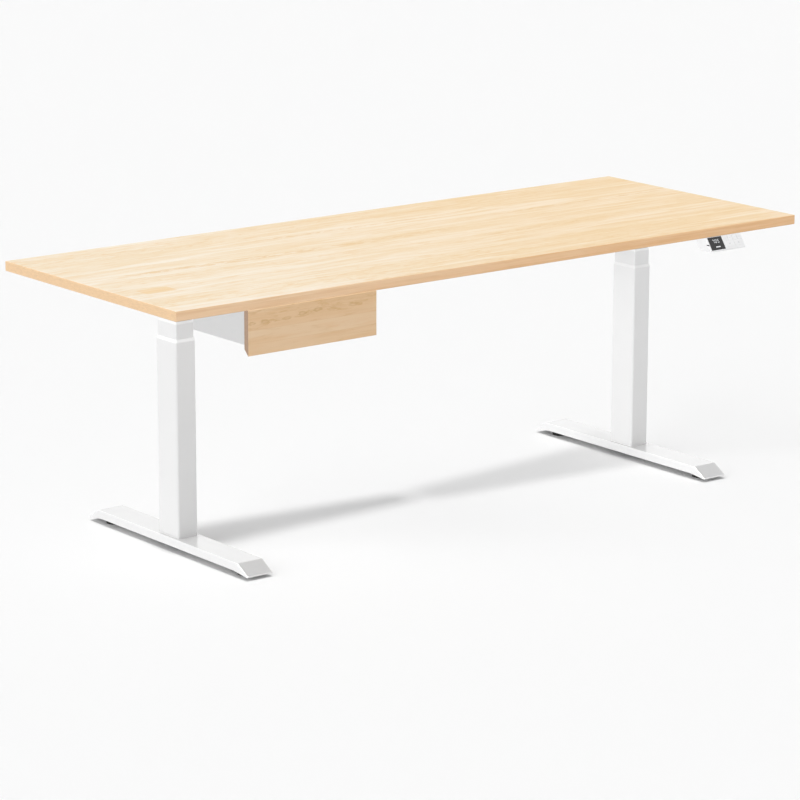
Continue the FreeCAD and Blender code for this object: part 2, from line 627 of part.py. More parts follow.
def motor_lead(name, sign):
    """From the motor's end cap, along the board's underside between the rails, to the control box."""
    start_x = LEG_X - GEARBOX_WIDTH / 2 - MOTOR_LENGTH - MOTOR_CAP_LENGTH
    end_x = BOX_HALF_LENGTH
    route = [
        (start_x, LEG_Y, MOTOR_Z),
        (start_x - 30, LEG_Y, MOTOR_Z),
        (start_x - 66, MOTOR_LEAD_Y - 3, LEAD_RUN_Z - 3),
        (start_x - 100, MOTOR_LEAD_Y, LEAD_RUN_Z),
        (end_x + 85, MOTOR_LEAD_Y, LEAD_RUN_Z),
        (end_x + 48, MOTOR_LEAD_Y + 1, LEAD_RUN_Z - 4),
        (end_x + 26, MOTOR_LEAD_Y, LEAD_ENTRY_Z + 2),
        (end_x, MOTOR_LEAD_Y, LEAD_ENTRY_Z),
    ]
    return lead(name, [(sign * x, y, z) for x, y, z in route])


HANDSET_LEAD_X = (KEYS_X0 + KEYS_X1) / 2
HANDSET_LEAD_Z = 664.0
handset_route = [
    (HANDSET_LEAD_X, HANDSET_REAR_Y, HANDSET_LEAD_Z),
    (HANDSET_LEAD_X, HANDSET_REAR_Y + 45, HANDSET_LEAD_Z),
    (HANDSET_LEAD_X - 3, HANDSET_REAR_Y + 115, LEAD_RUN_Z),
    (HANDSET_LEAD_X - 30, HANDSET_REAR_Y + 180, LEAD_RUN_Z),
    (HANDSET_LEAD_X - 85, HANDSET_LEAD_Y, LEAD_RUN_Z),
    (360, HANDSET_LEAD_Y, LEAD_RUN_Z),
    (305, HANDSET_LEAD_Y + 8, LEAD_RUN_Z - 14),
    (262, HANDSET_LEAD_Y + 28, RAIL_BOTTOM_Z - 6),
    (226, HANDSET_LEAD_Y + 58, RAIL_BOTTOM_Z - 6),
    (186, LEG_Y - 15, LEAD_ENTRY_Z - 7),
    (156, LEG_Y - 14, LEAD_ENTRY_Z),
    (BOX_HALF_LENGTH, LEG_Y - 14, LEAD_ENTRY_Z),
]


def clip(x, y):
    """A small saddle that holds a lead up against the board."""
    block = box(x - CLIP_WIDTH / 2, x + CLIP_WIDTH / 2, y - 5.5, y + 5.5, LEAD_RUN_Z - 4.5, UNDERSIDE_Z)
    start = V(x - CLIP_WIDTH, y, LEAD_RUN_Z)
    return block.cut(Part.makeCylinder(LEAD_DIAMETER / 2 + 0.1, 2 * CLIP_WIDTH, start, V(1, 0, 0)))


save("motor_leads", motor_lead("left motor lead", -1), motor_lead("right motor lead", 1))
save("handset_lead", lead("handset lead", handset_route))
clips = [clip(sign * x, MOTOR_LEAD_Y) for side, sign in SIDES for x in CLIP_XS]
clips += [clip(x, HANDSET_LEAD_Y) for x in HANDSET_CLIP_XS]
save("lead_clips", *clips)

# ---------------------------------------------------------------- drawer
CASE_X0 = DRAWER_X0 + CASE_INSET
CASE_X1 = DRAWER_X1 - CASE_INSET
CASE_FRONT_Y = BOARD_FRONT_Y + DRAWER_FRONT_THICKNESS
BAY_X0 = CASE_X0 + CASE_SHEET
BAY_X1 = CASE_X1 - CASE_SHEET
TRAY_X0 = BAY_X0 + SLIDE_WIDTH
TRAY_X1 = BAY_X1 - SLIDE_WIDTH
TRAY_FRONT_Y = CASE_FRONT_Y
TRAY_REAR_Y = CASE_REAR_Y - 9
SLIDE_FRONT_Y = CASE_FRONT_Y + 3


def case_screws():
    """The screws that hang the drawer's case from the board."""
    middle = CASE_SHEET + CASE_FLANGE / 2
    side_xs = (CASE_X0 + middle, CASE_X1 - middle)
    places = [(x, y) for x in side_xs for y in (CASE_FRONT_Y + 30, CASE_REAR_Y - 30)]
    return places + [(x, CASE_REAR_Y - middle) for x in (CASE_X0 + 120, CASE_X1 - 120)]


def drawer_case():
    """A folded sheet case, open at the front and top, with flanges along its upper edges."""
    rear = CASE_REAR_Y - CASE_SHEET
    case = box(CASE_X0, CASE_X1, CASE_FRONT_Y + 0.5, CASE_REAR_Y, CASE_BOTTOM_Z, UNDERSIDE_Z)
    floor_z = CASE_BOTTOM_Z + CASE_SHEET
    case = case.cut(box(BAY_X0, BAY_X1, CASE_FRONT_Y - 1, rear, floor_z, UNDERSIDE_Z + 1))
    sheet_z = UNDERSIDE_Z - CASE_SHEET
    flange = box(BAY_X0, BAY_X1, CASE_FRONT_Y + 0.5, rear, sheet_z, UNDERSIDE_Z)
    bay = box(
        BAY_X0 + CASE_FLANGE, BAY_X1 - CASE_FLANGE, CASE_FRONT_Y - 1, rear - CASE_FLANGE,
        sheet_z - 1, UNDERSIDE_Z + 1,
    )
    case = case.fuse(flange.cut(bay)).removeSplitter()
    return without(case, screw_holes(case_screws(), sheet_z - 1, BOARD_TOP_Z))


def channel(web_x, way, depth, z0, z1, y0, y1):
    """A long C: a web at web_x and two lips that reach from it towards way."""
    web = box(web_x, web_x + way * SLIDE_SHEET, y0, y1, z0, z1)
    low = box(web_x, web_x + way * depth, y0, y1, z0, z0 + SLIDE_SHEET)
    high = box(web_x, web_x + way * depth, y0, y1, z1 - SLIDE_SHEET, z1)
    return web.fuse(low).fuse(high).removeSplitter()


def slide_members(wall_x, way):
    """Outer, middle and inner member of a drawer slide beside the wall at wall_x."""
    y0 = SLIDE_FRONT_Y
    y1 = SLIDE_FRONT_Y + SLIDE_LENGTH
    z0 = SLIDE_BOTTOM_Z
    z1 = SLIDE_BOTTOM_Z + SLIDE_HEIGHT
    outer = channel(wall_x, way, 9.5, z0, z1, y0, y1)
    middle = channel(wall_x + way * SLIDE_GAP, way, 8.3, z0 + SLIDE_GAP, z1 - SLIDE_GAP, y0, y1)
    inner = channel(wall_x + way * SLIDE_WIDTH, -way, 7.5, z0 + 5, z1 - 5, y0, y1)
    return outer, middle, inner


def drawer_tray():
    tray = box(TRAY_X0, TRAY_X1, TRAY_FRONT_Y, TRAY_REAR_Y, TRAY_BOTTOM_Z, TRAY_TOP_Z)
    soft = [e for e in tray.Edges if e.CenterOfMass.z < TRAY_TOP_Z - 0.1]
    tray = tray.makeFillet(2.5, soft)
    inside = (
        TRAY_X0 + CASE_SHEET, TRAY_X1 - CASE_SHEET, TRAY_FRONT_Y + CASE_SHEET, TRAY_REAR_Y - CASE_SHEET,
        TRAY_BOTTOM_Z + CASE_SHEET, TRAY_TOP_Z + 1,
    )
    return tray.cut(box(*inside))


def drawer_front():
    """The wooden front, cut back at 45 degrees along the bottom as a finger pull."""
    y0 = BOARD_FRONT_Y
    y1 = BOARD_FRONT_Y + DRAWER_FRONT_THICKNESS
    z0 = DRAWER_FRONT_BOTTOM_Z
    flat = 1.2
    outline = [
        (y0, z0), (y0 + flat, z0), (y1, z0 + DRAWER_FRONT_THICKNESS - flat),
        (y1, DRAWER_FRONT_TOP_Z), (y0, DRAWER_FRONT_TOP_Z),
    ]
    front = prism_along_x(outline, DRAWER_X0, DRAWER_X1)
    face_edges = [e for e in front.Edges if e.CenterOfMass.y < y0 + 0.1]
    return front.makeFillet(0.8, face_edges)


slide_sets = [slide_members(BAY_X0, 1), slide_members(BAY_X1, -1)]
save("drawer_case", drawer_case())
save("drawer_outer_rails", *[members[0] for members in slide_sets])
save("drawer_middle_rails", *[members[1] for members in slide_sets])
save("drawer_inner_rails", *[members[2] for members in slide_sets])
save("drawer_tray", drawer_tray())
save("drawer_front", drawer_front())
screw_places += [(x, y, UNDERSIDE_Z - CASE_SHEET) for x, y in case_screws()]

# ---------------------------------------------------------------- hand controller
FACE_UP = V(0, math.sin(HANDSET_LEAN), math.cos(HANDSET_LEAN))
FACE_OUT = V(0, -math.cos(HANDSET_LEAN), math.sin(HANDSET_LEAN))
FACE_TOP = V(0, HANDSET_FACE_TOP_Y, UNDERSIDE_Z)
NOSE_Y = BOARD_FRONT_Y - CONTROLLER_OVERHANG + HANDSET_NOSE_RADIUS
# the nose's centre lies one radius behind the face's plane
NOSE_Z = UNDERSIDE_Z - (HANDSET_NOSE_RADIUS + (NOSE_Y - HANDSET_FACE_TOP_Y) * FACE_OUT.y) / FACE_OUT.z
NOSE = V(0, NOSE_Y, NOSE_Z)
FACE_BOTTOM = NOSE + FACE_OUT * HANDSET_NOSE_RADIUS
FACE_MIDDLE = (FACE_TOP + FACE_BOTTOM) * 0.5


def handset_profile(inset):
    """The controller's outline in the YZ plane, drawn inset by a wall thickness."""
    radius = max(HANDSET_NOSE_RADIUS - inset, 0.2)
    top_z = UNDERSIDE_Z - inset
    nose = V(0, NOSE_Y + (2.6 * inset), NOSE_Z + (HANDSET_NOSE_RADIUS - radius) + inset * 0.2)
    nose = nose + FACE_OUT * ((FACE_MIDDLE - nose).dot(FACE_OUT) - inset - radius)
    tangent = nose + FACE_OUT * radius
    top = tangent + FACE_UP * ((top_z - tangent.z) / FACE_UP.z)
    under = nose + V(0, 0, -radius)
    halfway = nose + (FACE_OUT + V(0, 0, -1)).normalize() * radius
    rear_y = HANDSET_REAR_Y - inset
    cut_y, cut_z = HANDSET_REAR_CUT
    rear = [V(0, rear_y - cut_y, under.z), V(0, rear_y, under.z + cut_z), V(0, rear_y, top_z)]
    corners = [under, *rear, top, tangent]
    edges = [Part.LineSegment(a, b).toShape() for a, b in zip(corners, corners[1:])]
    edges.append(Part.Arc(tangent, halfway, under).toShape())
    return Part.Face(Part.Wire(edges))


def on_face(x0, x1, s0, s1, n0, n1):
    """A block set square to the sloping face: s is up it from its middle, n is out of it."""
    origin = V(x0, 0, 0) + FACE_MIDDLE + FACE_UP * s0 + FACE_OUT * n0
    base = Part.makePolygon([
        origin, origin + V(x1 - x0, 0, 0), origin + V(x1 - x0, 0, 0) + FACE_UP * (s1 - s0),
        origin + FACE_UP * (s1 - s0), origin,
    ])
    return Part.Face(base).extrude(FACE_OUT * (n1 - n0))


def key_slots():
    """Each key's name and (x0, x1, s0, s1) on the face."""
    slots = {}
    memory_names = [f"memory_{number}" for number in range(1, 5)]
    for row, names in ((UPPER_KEYS, memory_names), (LOWER_KEYS, ["down", "up"])):
        width = (KEYS_X1 - KEYS_X0 - KEY_GAP * (len(names) - 1)) / len(names)
        for n, name in enumerate(names):
            x0 = KEYS_X0 + n * (width + KEY_GAP)
            slots[name] = (x0, x0 + width, row[0], row[1])
    return slots


def grown(slot, by):
    return slot[0] - by, slot[1] + by, slot[2] - by, slot[3] + by


def key(slot):
    """A key with a flange behind the face that keeps it in."""
    cap = on_face(*slot, -HANDSET_WALL - 0.2, KEY_PROUD)
    rim = [e for e in cap.Edges if (e.CenterOfMass - FACE_MIDDLE).dot(FACE_OUT) > KEY_PROUD - 0.1]
    cap = cap.makeFillet(0.5, rim)
    return cap.fuse(on_face(*grown(slot, KEY_FLANGE), -HANDSET_WALL - 1.0, -HANDSET_WALL - 0.15))


def handset_screws():
    return [(x, HANDSET_REAR_Y + HANDSET_FLANGE_DEPTH / 2) for x in (HANDSET_X0 + 16, HANDSET_X1 - 16)]


def on_an_end(edge):
    x = edge.CenterOfMass.x
    return min(abs(x - HANDSET_X0), abs(x - HANDSET_X1)) < 0.01


def handset_housing():
    """A wedge-shaped shell with openings for the window, the keys and the lead, and a rear flange."""
    shell = handset_profile(0)
    shell.translate(V(HANDSET_X0, 0, 0))
    shell = shell.extrude(V(HANDSET_X1 - HANDSET_X0, 0, 0))
    ends = [e for e in shell.Edges if on_an_end(e) and e.CenterOfMass.z < UNDERSIDE_Z - 0.1]
    shell = shell.makeFillet(HANDSET_END_ROUND, ends)
    hollow = handset_profile(HANDSET_WALL)
    hollow.translate(V(HANDSET_X0 + HANDSET_WALL, 0, 0))
    shell = shell.cut(hollow.extrude(V(HANDSET_X1 - HANDSET_X0 - 2 * HANDSET_WALL, 0, 0)))
    flange_rear_y = HANDSET_REAR_Y + HANDSET_FLANGE_DEPTH
    flange_z = UNDERSIDE_Z - HANDSET_FLANGE_THICKNESS
    flange = box(HANDSET_X0 + 6, HANDSET_X1 - 6, HANDSET_REAR_Y - 1, flange_rear_y, flange_z, UNDERSIDE_Z)
    shell = shell.fuse(flange)
    gap = 0.1
    window = (WINDOW_X0, WINDOW_X1, -WINDOW_HALF_HEIGHT, WINDOW_HALF_HEIGHT)
    cuts = [on_face(*grown(window, gap), -HANDSET_WALL, 1)]
    cuts += [on_face(*grown(slot, KEY_CLEARANCE), -HANDSET_WALL - 0.1, 1) for slot in key_slots().values()]
    cuts += screw_holes(handset_screws(), flange_z - 1, BOARD_TOP_Z)
    start = V(HANDSET_LEAD_X, HANDSET_REAR_Y - HANDSET_WALL - 0.5, HANDSET_LEAD_Z)
    cuts.append(Part.makeCylinder(LEAD_DIAMETER / 2 + 0.1, 0.7 + HANDSET_WALL, start, V(0, 1, 0)))
    port_y = PORT_Y - PORT_DEPTH / 2, PORT_Y + PORT_DEPTH / 2
    port_z = PORT_Z - PORT_HEIGHT / 2, PORT_Z + PORT_HEIGHT / 2
    cuts.append(box(HANDSET_X0 - 1, HANDSET_X0 + HANDSET_WALL + 1, *port_y, *port_z))
    return without(shell, cuts)


def handset_window():
    """The dark pane over the display, let into the sloping face."""
    half = WINDOW_HALF_HEIGHT
    window = on_face(WINDOW_X0, WINDOW_X1, -half, half, -HANDSET_WALL + 0.05, 0.15)
    rim = [e for e in window.Edges if (e.CenterOfMass - FACE_MIDDLE).dot(FACE_OUT) > 0.1]
    return window.makeFillet(0.12, rim)


save("handset_housing", handset_housing())
save("handset_window", handset_window())
save("handset_board", on_face(WINDOW_X0 + 2, KEYS_X1 - 3, -11.0, 14.0, -6.4, -4.8))
for name, slot in key_slots().items():
    save(f"{name}_key", key(slot))
screw_places += [(x, y, UNDERSIDE_Z - HANDSET_FLANGE_THICKNESS) for x, y in handset_screws()]


# ---------------------------------------------------------------- board and its screws
def wood_screw(x, y, seat_z):
    """A pan-head screw driven up into the board, with its head under seat_z."""
    head = rod(SCREW_HEAD_RADIUS, x, y, seat_z - SCREW_HEAD_HEIGHT, seat_z)
    low_rim = [e for e in head.Edges if isinstance(e.Curve, Part.Circle) and e.CenterOfMass.z < seat_z - 1]
    head = head.makeFillet(1.4, low_rim)
    return head.fuse(rod(SCREW_RADIUS, x, y, seat_z, UNDERSIDE_Z + SCREW_BITE))


def board():
    half = BOARD_LENGTH / 2
    slab = box(-half, half, BOARD_FRONT_Y, BOARD_FRONT_Y + BOARD_DEPTH, UNDERSIDE_Z, BOARD_TOP_Z)
    slab = slab.makeFillet(BOARD_EDGE_ROUND, slab.Edges)
    pilot_top_z = UNDERSIDE_Z + SCREW_BITE
    return without(slab, [rod(SCREW_RADIUS, x, y, UNDERSIDE_Z - 1, pilot_top_z) for x, y, z in screw_places])


save("board", board())
save("board_screws", *[wood_screw(*place) for place in screw_places])
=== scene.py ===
"""Looks of a height adjustable standing desk: pale maple board and drawer front, white powder-coated
steel, satin white plastic, a black display and the dark and bright metal pieces under the board.

Metres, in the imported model's frame: +X is the user's right, -Y the user's side, +Z up, floor at z = 0.
"""
import json
import math

import bmesh
import bpy
from mathutils import Matrix, Vector


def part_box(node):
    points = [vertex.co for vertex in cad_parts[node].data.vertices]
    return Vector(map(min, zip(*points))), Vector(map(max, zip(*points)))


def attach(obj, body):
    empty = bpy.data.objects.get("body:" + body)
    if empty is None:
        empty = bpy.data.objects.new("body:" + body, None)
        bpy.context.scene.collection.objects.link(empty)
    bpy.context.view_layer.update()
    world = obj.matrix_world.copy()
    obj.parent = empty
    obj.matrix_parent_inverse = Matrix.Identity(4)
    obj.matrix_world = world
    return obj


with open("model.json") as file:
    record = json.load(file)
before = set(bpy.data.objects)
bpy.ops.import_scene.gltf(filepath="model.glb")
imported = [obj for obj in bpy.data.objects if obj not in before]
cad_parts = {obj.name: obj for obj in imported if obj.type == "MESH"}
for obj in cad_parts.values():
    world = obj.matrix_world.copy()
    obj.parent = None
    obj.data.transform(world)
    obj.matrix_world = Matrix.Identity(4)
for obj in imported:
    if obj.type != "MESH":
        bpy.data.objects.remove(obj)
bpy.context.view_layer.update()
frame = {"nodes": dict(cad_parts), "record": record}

nodes = frame["nodes"]
SLOT_OF = {part["node"]: part["material_slot"] for part in frame["record"]["subparts"]}
BASE_COLOR = {m["slot"]: tuple(m["base_color"][:3]) for m in frame["record"]["materials"]}


# ------------------------------------------------------------------ shader building
class Shader:
    """A node material under construction. Most methods add a node and return its output socket."""

    def __init__(self, name, **surface):
        self.material = bpy.data.materials.new(name)
        self.material.use_nodes = True
        self.tree = self.material.node_tree
        self.surface = self.tree.nodes["Principled BSDF"]
        self.object_point = self.add("ShaderNodeTexCoord").outputs["Object"]
        self.normal = self.add("ShaderNodeNewGeometry").outputs["Normal"]
        self.set(**surface)

    def add(self, kind, **settings):
        node = self.tree.nodes.new(kind)
        for name, value in settings.items():
            setattr(node, name, value)
        return node

    def put(self, socket, value):
        if isinstance(value, bpy.types.NodeSocket):
            self.tree.links.new(value, socket)
        elif isinstance(value, (tuple, list)) and len(value) == 3 and socket.type == "RGBA":
            socket.default_value = (*value, 1.0)
        else:
            socket.default_value = value

    def set(self, **sockets):
        """Sets or links the surface's inputs, named with underscores for spaces."""
        for name, value in sockets.items():
            self.put(self.surface.inputs[name.replace("_", " ")], value)

    def math(self, operation, a, b=0.0):
        node = self.add("ShaderNodeMath", operation=operation)
        self.put(node.inputs[0], a)
        self.put(node.inputs[1], b)
        return node.outputs[0]

    def plus(self, first, *others):
        for other in others:
            first = self.math("ADD", first, other)
        return first

    def times(self, first, *others):
        for other in others:
            first = self.math("MULTIPLY", first, other)
        return first

    def away(self, value, middle):
        """How far value is from middle, never below 0."""
        return self.math("ABSOLUTE", self.math("SUBTRACT", value, middle))

    def length(self, vector):
        node = self.add("ShaderNodeVectorMath", operation="LENGTH")
        self.put(node.inputs[0], vector)
        return node.outputs["Value"]

    def stretched(self, vector, factors):
        node = self.add("ShaderNodeVectorMath", operation="MULTIPLY")
        self.put(node.inputs[0], vector)
        self.put(node.inputs[1], factors)
        return node.outputs["Vector"]

    def split(self, vector):
        node = self.add("ShaderNodeSeparateXYZ")
        self.put(node.inputs[0], vector)
        return node.outputs

    def join(self, x, y, z):
        node = self.add("ShaderNodeCombineXYZ")
        for socket, value in zip(node.inputs, (x, y, z)):
            self.put(socket, value)
        return node.outputs[0]

    def noise(self, vector, scale=1.0, detail=3.0, roughness=0.5, distortion=0.0):
        node = self.add("ShaderNodeTexNoise")
        self.put(node.inputs["Vector"], vector)
        self.put(node.inputs["Scale"], scale)
        self.put(node.inputs["Detail"], detail)
        self.put(node.inputs["Roughness"], roughness)
        self.put(node.inputs["Distortion"], distortion)
        return node.outputs["Fac"]

    def hashed(self, value):
        """A random number from 0 to 1 that is the same wherever value is the same."""
        node = self.add("ShaderNodeTexWhiteNoise", noise_dimensions="1D")
        self.put(node.inputs["W"], value)
        return node.outputs["Value"]

    def spread(self, value, low, high, to_low=0.0, to_high=1.0):
        """value from low to high becomes to_low to to_high, smoothly, and is held there outside that."""
        node = self.add("ShaderNodeMapRange", interpolation_type="SMOOTHSTEP")
        for socket, number in zip(node.inputs, (value, low, high, to_low, to_high)):
            self.put(socket, number)
        return node.outputs[0]

    def mix(self, factor, a, b, blend="MIX"):
        node = self.add("ShaderNodeMix", data_type="RGBA", blend_type=blend)
        self.put(node.inputs[0], factor)
        # several of this node's sockets share a name, so its colour sockets go by number
        self.put(node.inputs[6], a)
        self.put(node.inputs[7], b)
        return node.outputs[2]

    def tinted(self, color, tint):
        """The colour with each channel multiplied by the tint's."""
        return self.mix(1.0, color, tint, "MULTIPLY")

    def bump(self, height, distance, strength=1.0):
        """distance is in metres, for a height that goes from 0 to 1."""
        node = self.add("ShaderNodeBump")
        self.put(node.inputs["Height"], height)
        self.put(node.inputs["Distance"], distance)
        self.put(node.inputs["Strength"], strength)
        self.set(Normal=node.outputs[0])


def shade(color, factor):
    return tuple(min(1.0, channel * factor) for channel in color)


def grey(level):
    return (level, level, level)


# ------------------------------------------------------------------ materials
class Maple(Shader):
    """Lacquered maple in glued planks whose grain runs along X.

    left and right are the (pale, golden) tones at the two ends of the board, and a paler left end is
    painted sheen. across is the axis that crosses the planks, plank their width in metres, and plank_offset
    moves the joints between them.
    Faces that look along X show end grain.
    """

    TONE_AND_SHEEN_X = (-0.95, 0.65)  # the tones, with the painted sheen of a paler left end, go from left to right between these
    SWAY = 0.03  # how far the grain wanders sideways
    GLUE_HALF = 0.0009

    def __init__(self, name, left, right, streak, end_grain, plank, plank_offset, across="y"):
        super().__init__(name)
        self.streak = streak
        self.end_grain = end_grain
        self.plank = plank
        self.x, self.y, self.z = self.split(self.object_point)
        self.side, self.depth = (self.y, self.z) if across == "y" else (self.z, self.y)
        # how far along the board, from the paler left end, where painted sheen lightens the wood, to the
        # right end
        self.along = self.spread(self.x, *self.TONE_AND_SHEEN_X)
        self.pale = self.mix(self.along, left[0], right[0])
        self.golden = self.mix(self.along, left[1], right[1])
        # each plank has two random numbers, and its own place in the noise
        self.lane = self.math("DIVIDE", self.plus(self.side, plank_offset), plank)
        index = self.math("FLOOR", self.lane)
        self.luck = self.hashed(index)
        self.luck_2 = self.hashed(self.plus(index, 37.3))
        self.far = self.times(self.luck, 9.0)
        sway_x = self.plus(self.times(self.x, 1.4), self.far)
        sway = self.noise(self.join(sway_x, self.times(self.side, 5.0), self.far), detail=2.0)
        self.bent = self.plus(self.side, self.times(sway, self.SWAY))
        self.rings = self.grain(2.8, 44.0, detail=4.0, roughness=0.6, distortion=1.0, seed=3.1)
        dashes = self.grain(22.0, 90.0, detail=4.0, roughness=0.65, distortion=0.6, seed=1.9)
        self.dashes = self.spread(dashes, 0.50, 0.64)
        self.fibre = self.grain(22.0, 900.0, detail=2.0, roughness=0.7)
        self.color = self.plain_figure()

    def grain(self, long, cross, detail=3.0, roughness=0.5, distortion=0.0, seed=0.0):
        """Noise that is long cycles per metre along the grain and cross cycles per metre across it."""
        shift = self.plus(self.far, seed)
        at = self.join(
            self.plus(self.times(self.x, long), shift), self.times(self.bent, cross),
            self.plus(self.times(self.depth, cross), shift),
        )
        return self.noise(at, detail=detail, roughness=roughness, distortion=distortion)

    def plain_figure(self):
        """The colour of plain wood: bands, rings, pale and dark lines, flames, dashes and flecks."""
        wide = self.grain(1.1, 11.0, roughness=0.6)
        color = self.mix(self.spread(wide, 0.36, 0.64, 0.0, 0.7), self.pale, self.golden)
        color = self.mix(self.spread(self.rings, 0.46, 0.62, 0.0, 0.75), color, self.golden)
        lines = self.grain(3.2, 72.0, detail=3.0, roughness=0.6, seed=5.7)
        pale_line = self.tinted(self.pale, (1.03, 1.05, 1.10))
        color = self.mix(self.spread(lines, 0.54, 0.66, 0.0, 0.5), color, pale_line)
        dark_line = self.mix(0.35, self.golden, self.streak)
        color = self.mix(self.spread(lines, 0.46, 0.34, 0.0, 0.5), color, dark_line)
        swirls = self.grain(3.4, 24.0, detail=5.0, roughness=0.6, distortion=1.6, seed=12.9)
        color = self.mix(self.spread(swirls, 0.53, 0.64, 0.0, 0.30), color, self.streak)
        flames = self.grain(9.0, 52.0, detail=5.0, roughness=0.62, distortion=0.9, seed=8.3)
        flamed = self.times(
            self.spread(flames, 0.53, 0.68), self.spread(self.luck_2, 0.1, 0.9, 0.45, 0.85),
            self.spread(self.rings, 0.42, 0.58, 0.25, 1.0),
        )
        color = self.mix(flamed, color, self.streak)
        dashed = self.times(
            self.dashes, self.spread(wide, 0.42, 0.58), self.spread(self.luck_2, 0.2, 0.9, 0.45, 0.85),
        )
        color = self.mix(dashed, color, self.streak)
        pale_fibre = self.tinted(self.pale, (1.02, 1.03, 1.05))
        color = self.mix(self.spread(self.fibre, 0.25, 0.75, 0.0, 0.14), color, pale_fibre)
        flecks = self.grain(130.0, 1100.0, detail=1.0, seed=2.2)
        color = self.mix(self.spread(flecks, 0.66, 0.76, 0.0, 0.16), color, self.streak)
        return self.mix(self.spread(self.luck, 0.0, 1.0, 0.0, 0.25), color, self.golden)

    def add_curls(self, lanes):
        """Rows of golden curls that fade in and out at their ends."""
        fade = 0.2
        noise = self.grain(17.0, 66.0, detail=4.0, roughness=0.65, distortion=1.2, seed=15.3)
        curls = self.spread(noise, 0.44, 0.57, 0.0, 0.8)
        for y, half_width, first_x, last_x in lanes:
            off_lane = self.away(self.bent, y + self.SWAY / 2)
            in_lane = self.times(
                self.spread(self.x, first_x, first_x + fade), self.spread(self.x, last_x, last_x - fade),
                self.spread(off_lane, half_width, 0.4 * half_width),
            )
            self.color = self.mix(self.times(in_lane, curls), self.color, shade(self.streak, 0.98))

    def add_patch(self, x, y, half_length, half_width):
        """A rectangle of darker wood."""
        soft = 0.006
        inside = self.times(
            self.spread(self.away(self.x, x), half_length, half_length - soft),
            self.spread(self.away(self.y, y), half_width, half_width - soft),
            self.spread(self.rings, 0.3, 0.65, 0.25, 0.8),
        )
        self.color = self.mix(inside, self.color, shade(self.streak, 1.04))

    def add_eyes(self, first_x, spacing, left_z, right_z, count=7):
        """A row of cat's eyes: ragged ovals with a dark ring, among golden dashes."""
        half_length, half_height = 0.013, 0.0048
        cell = self.math("DIVIDE", self.math("SUBTRACT", self.x, first_x), spacing)
        nearest = self.math("ROUND", cell)
        chance = self.hashed(self.plus(nearest, 11.7))
        chance_2 = self.hashed(self.plus(nearest, 53.1))
        off_x = self.math("SUBTRACT", cell, nearest)
        off_x = self.math("SUBTRACT", off_x, self.spread(chance, 0.0, 1.0, -0.22, 0.22))
        row_z = self.spread(nearest, 0.0, count - 1, left_z, right_z)
        row_z = self.plus(row_z, self.spread(chance_2, 0.0, 1.0, -0.003, 0.003))
        off_z = self.math("SUBTRACT", self.z, row_z)
        oval_x = self.times(off_x, spacing / half_length)
        oval = self.join(oval_x, self.math("DIVIDE", off_z, half_height), 0.0)
        rough_edge = self.math("SUBTRACT", self.grain(45.0, 220.0, detail=3.0, seed=4.4), 0.5)
        reach = self.plus(self.length(oval), self.times(rough_edge, 2.2))
        in_count = self.math("LESS_THAN", nearest, count - 0.5)
        size = self.times(self.spread(chance_2, 0.0, 1.0, 0.3, 1.0), in_count)
        in_row = self.spread(self.math("ABSOLUTE", off_z), 0.013, 0.004)
        self.color = self.mix(self.times(in_row, self.dashes, 0.5), self.color, self.streak)
        filled = self.times(self.spread(reach, 1.35, 0.75), size, 0.36)
        self.color = self.mix(filled, self.color, self.streak)
        ring = self.times(self.spread(reach, 1.05, 0.8), self.spread(reach, 0.35, 0.7), size, 0.50)
        self.color = self.mix(ring, self.color, shade(self.streak, 0.9))

    def add_edge(self, left, right):
        """The tone of the upright faces."""
        upright = self.spread(self.math("ABSOLUTE", self.split(self.normal)[2]), 0.92, 0.7)
        tone = self.mix(self.along, left, right)
        fine = self.spread(self.grain(3.0, 150.0, detail=4.0, roughness=0.6, seed=6.6), 0.35, 0.68)
        tone = self.mix(fine, tone, self.tinted(tone, (0.92, 0.86, 0.78)))
        blotch = self.spread(self.grain(5.0, 40.0, detail=3.0, seed=7.7), 0.45, 0.7, 0.0, 0.5)
        tone = self.mix(blotch, tone, self.tinted(tone, (1.03, 1.10, 1.18)))
        self.color = self.mix(upright, self.color, tone)

    def finish(self):
        """Adds painted shade on downward faces, glue lines, end grain and lacquer, and gives the material.
        """
        normal_x, _, normal_z = self.split(self.normal)
        # downward faces are painted darker: painted shade under the board and the drawer front
        underside_shade = self.spread(normal_z, -0.1, -0.5)
        color = self.mix(underside_shade, self.color, self.tinted(self.color, (0.80, 0.77, 0.74)))
        off_middle = self.away(self.math("FRACT", self.lane), 0.5)
        glue = self.spread(off_middle, 0.5 - self.GLUE_HALF / self.plank, 0.5)
        color = self.mix(self.times(glue, 0.3), color, self.streak)
        faces_x = self.spread(self.math("ABSOLUTE", normal_x), 0.55, 0.85)
        arc_at = self.join(0.0, self.times(self.y, 60.0), self.times(self.z, 260.0))
        arcs = self.noise(arc_at, detail=4.0, roughness=0.6, distortion=1.2)
        dark_arc = shade(self.end_grain, 0.86)
        end_color = self.mix(self.spread(arcs, 0.3, 0.75, 0.0, 0.8), self.end_grain, dark_arc)
        color = self.mix(faces_x, color, end_color)
        self.set(Base_Color=color, IOR=1.45, Specular_IOR_Level=0.05, Coat_Weight=0.02, Coat_Roughness=0.28)
        worn = self.plus(self.rings, self.times(self.fibre, 0.3))
        self.set(Roughness=self.spread(worn, 0.4, 0.9, 0.44, 0.58))
        self.bump(self.plus(self.times(self.fibre, 0.6), self.times(glue, -0.5)), 0.00012, 0.35)
        return self.material


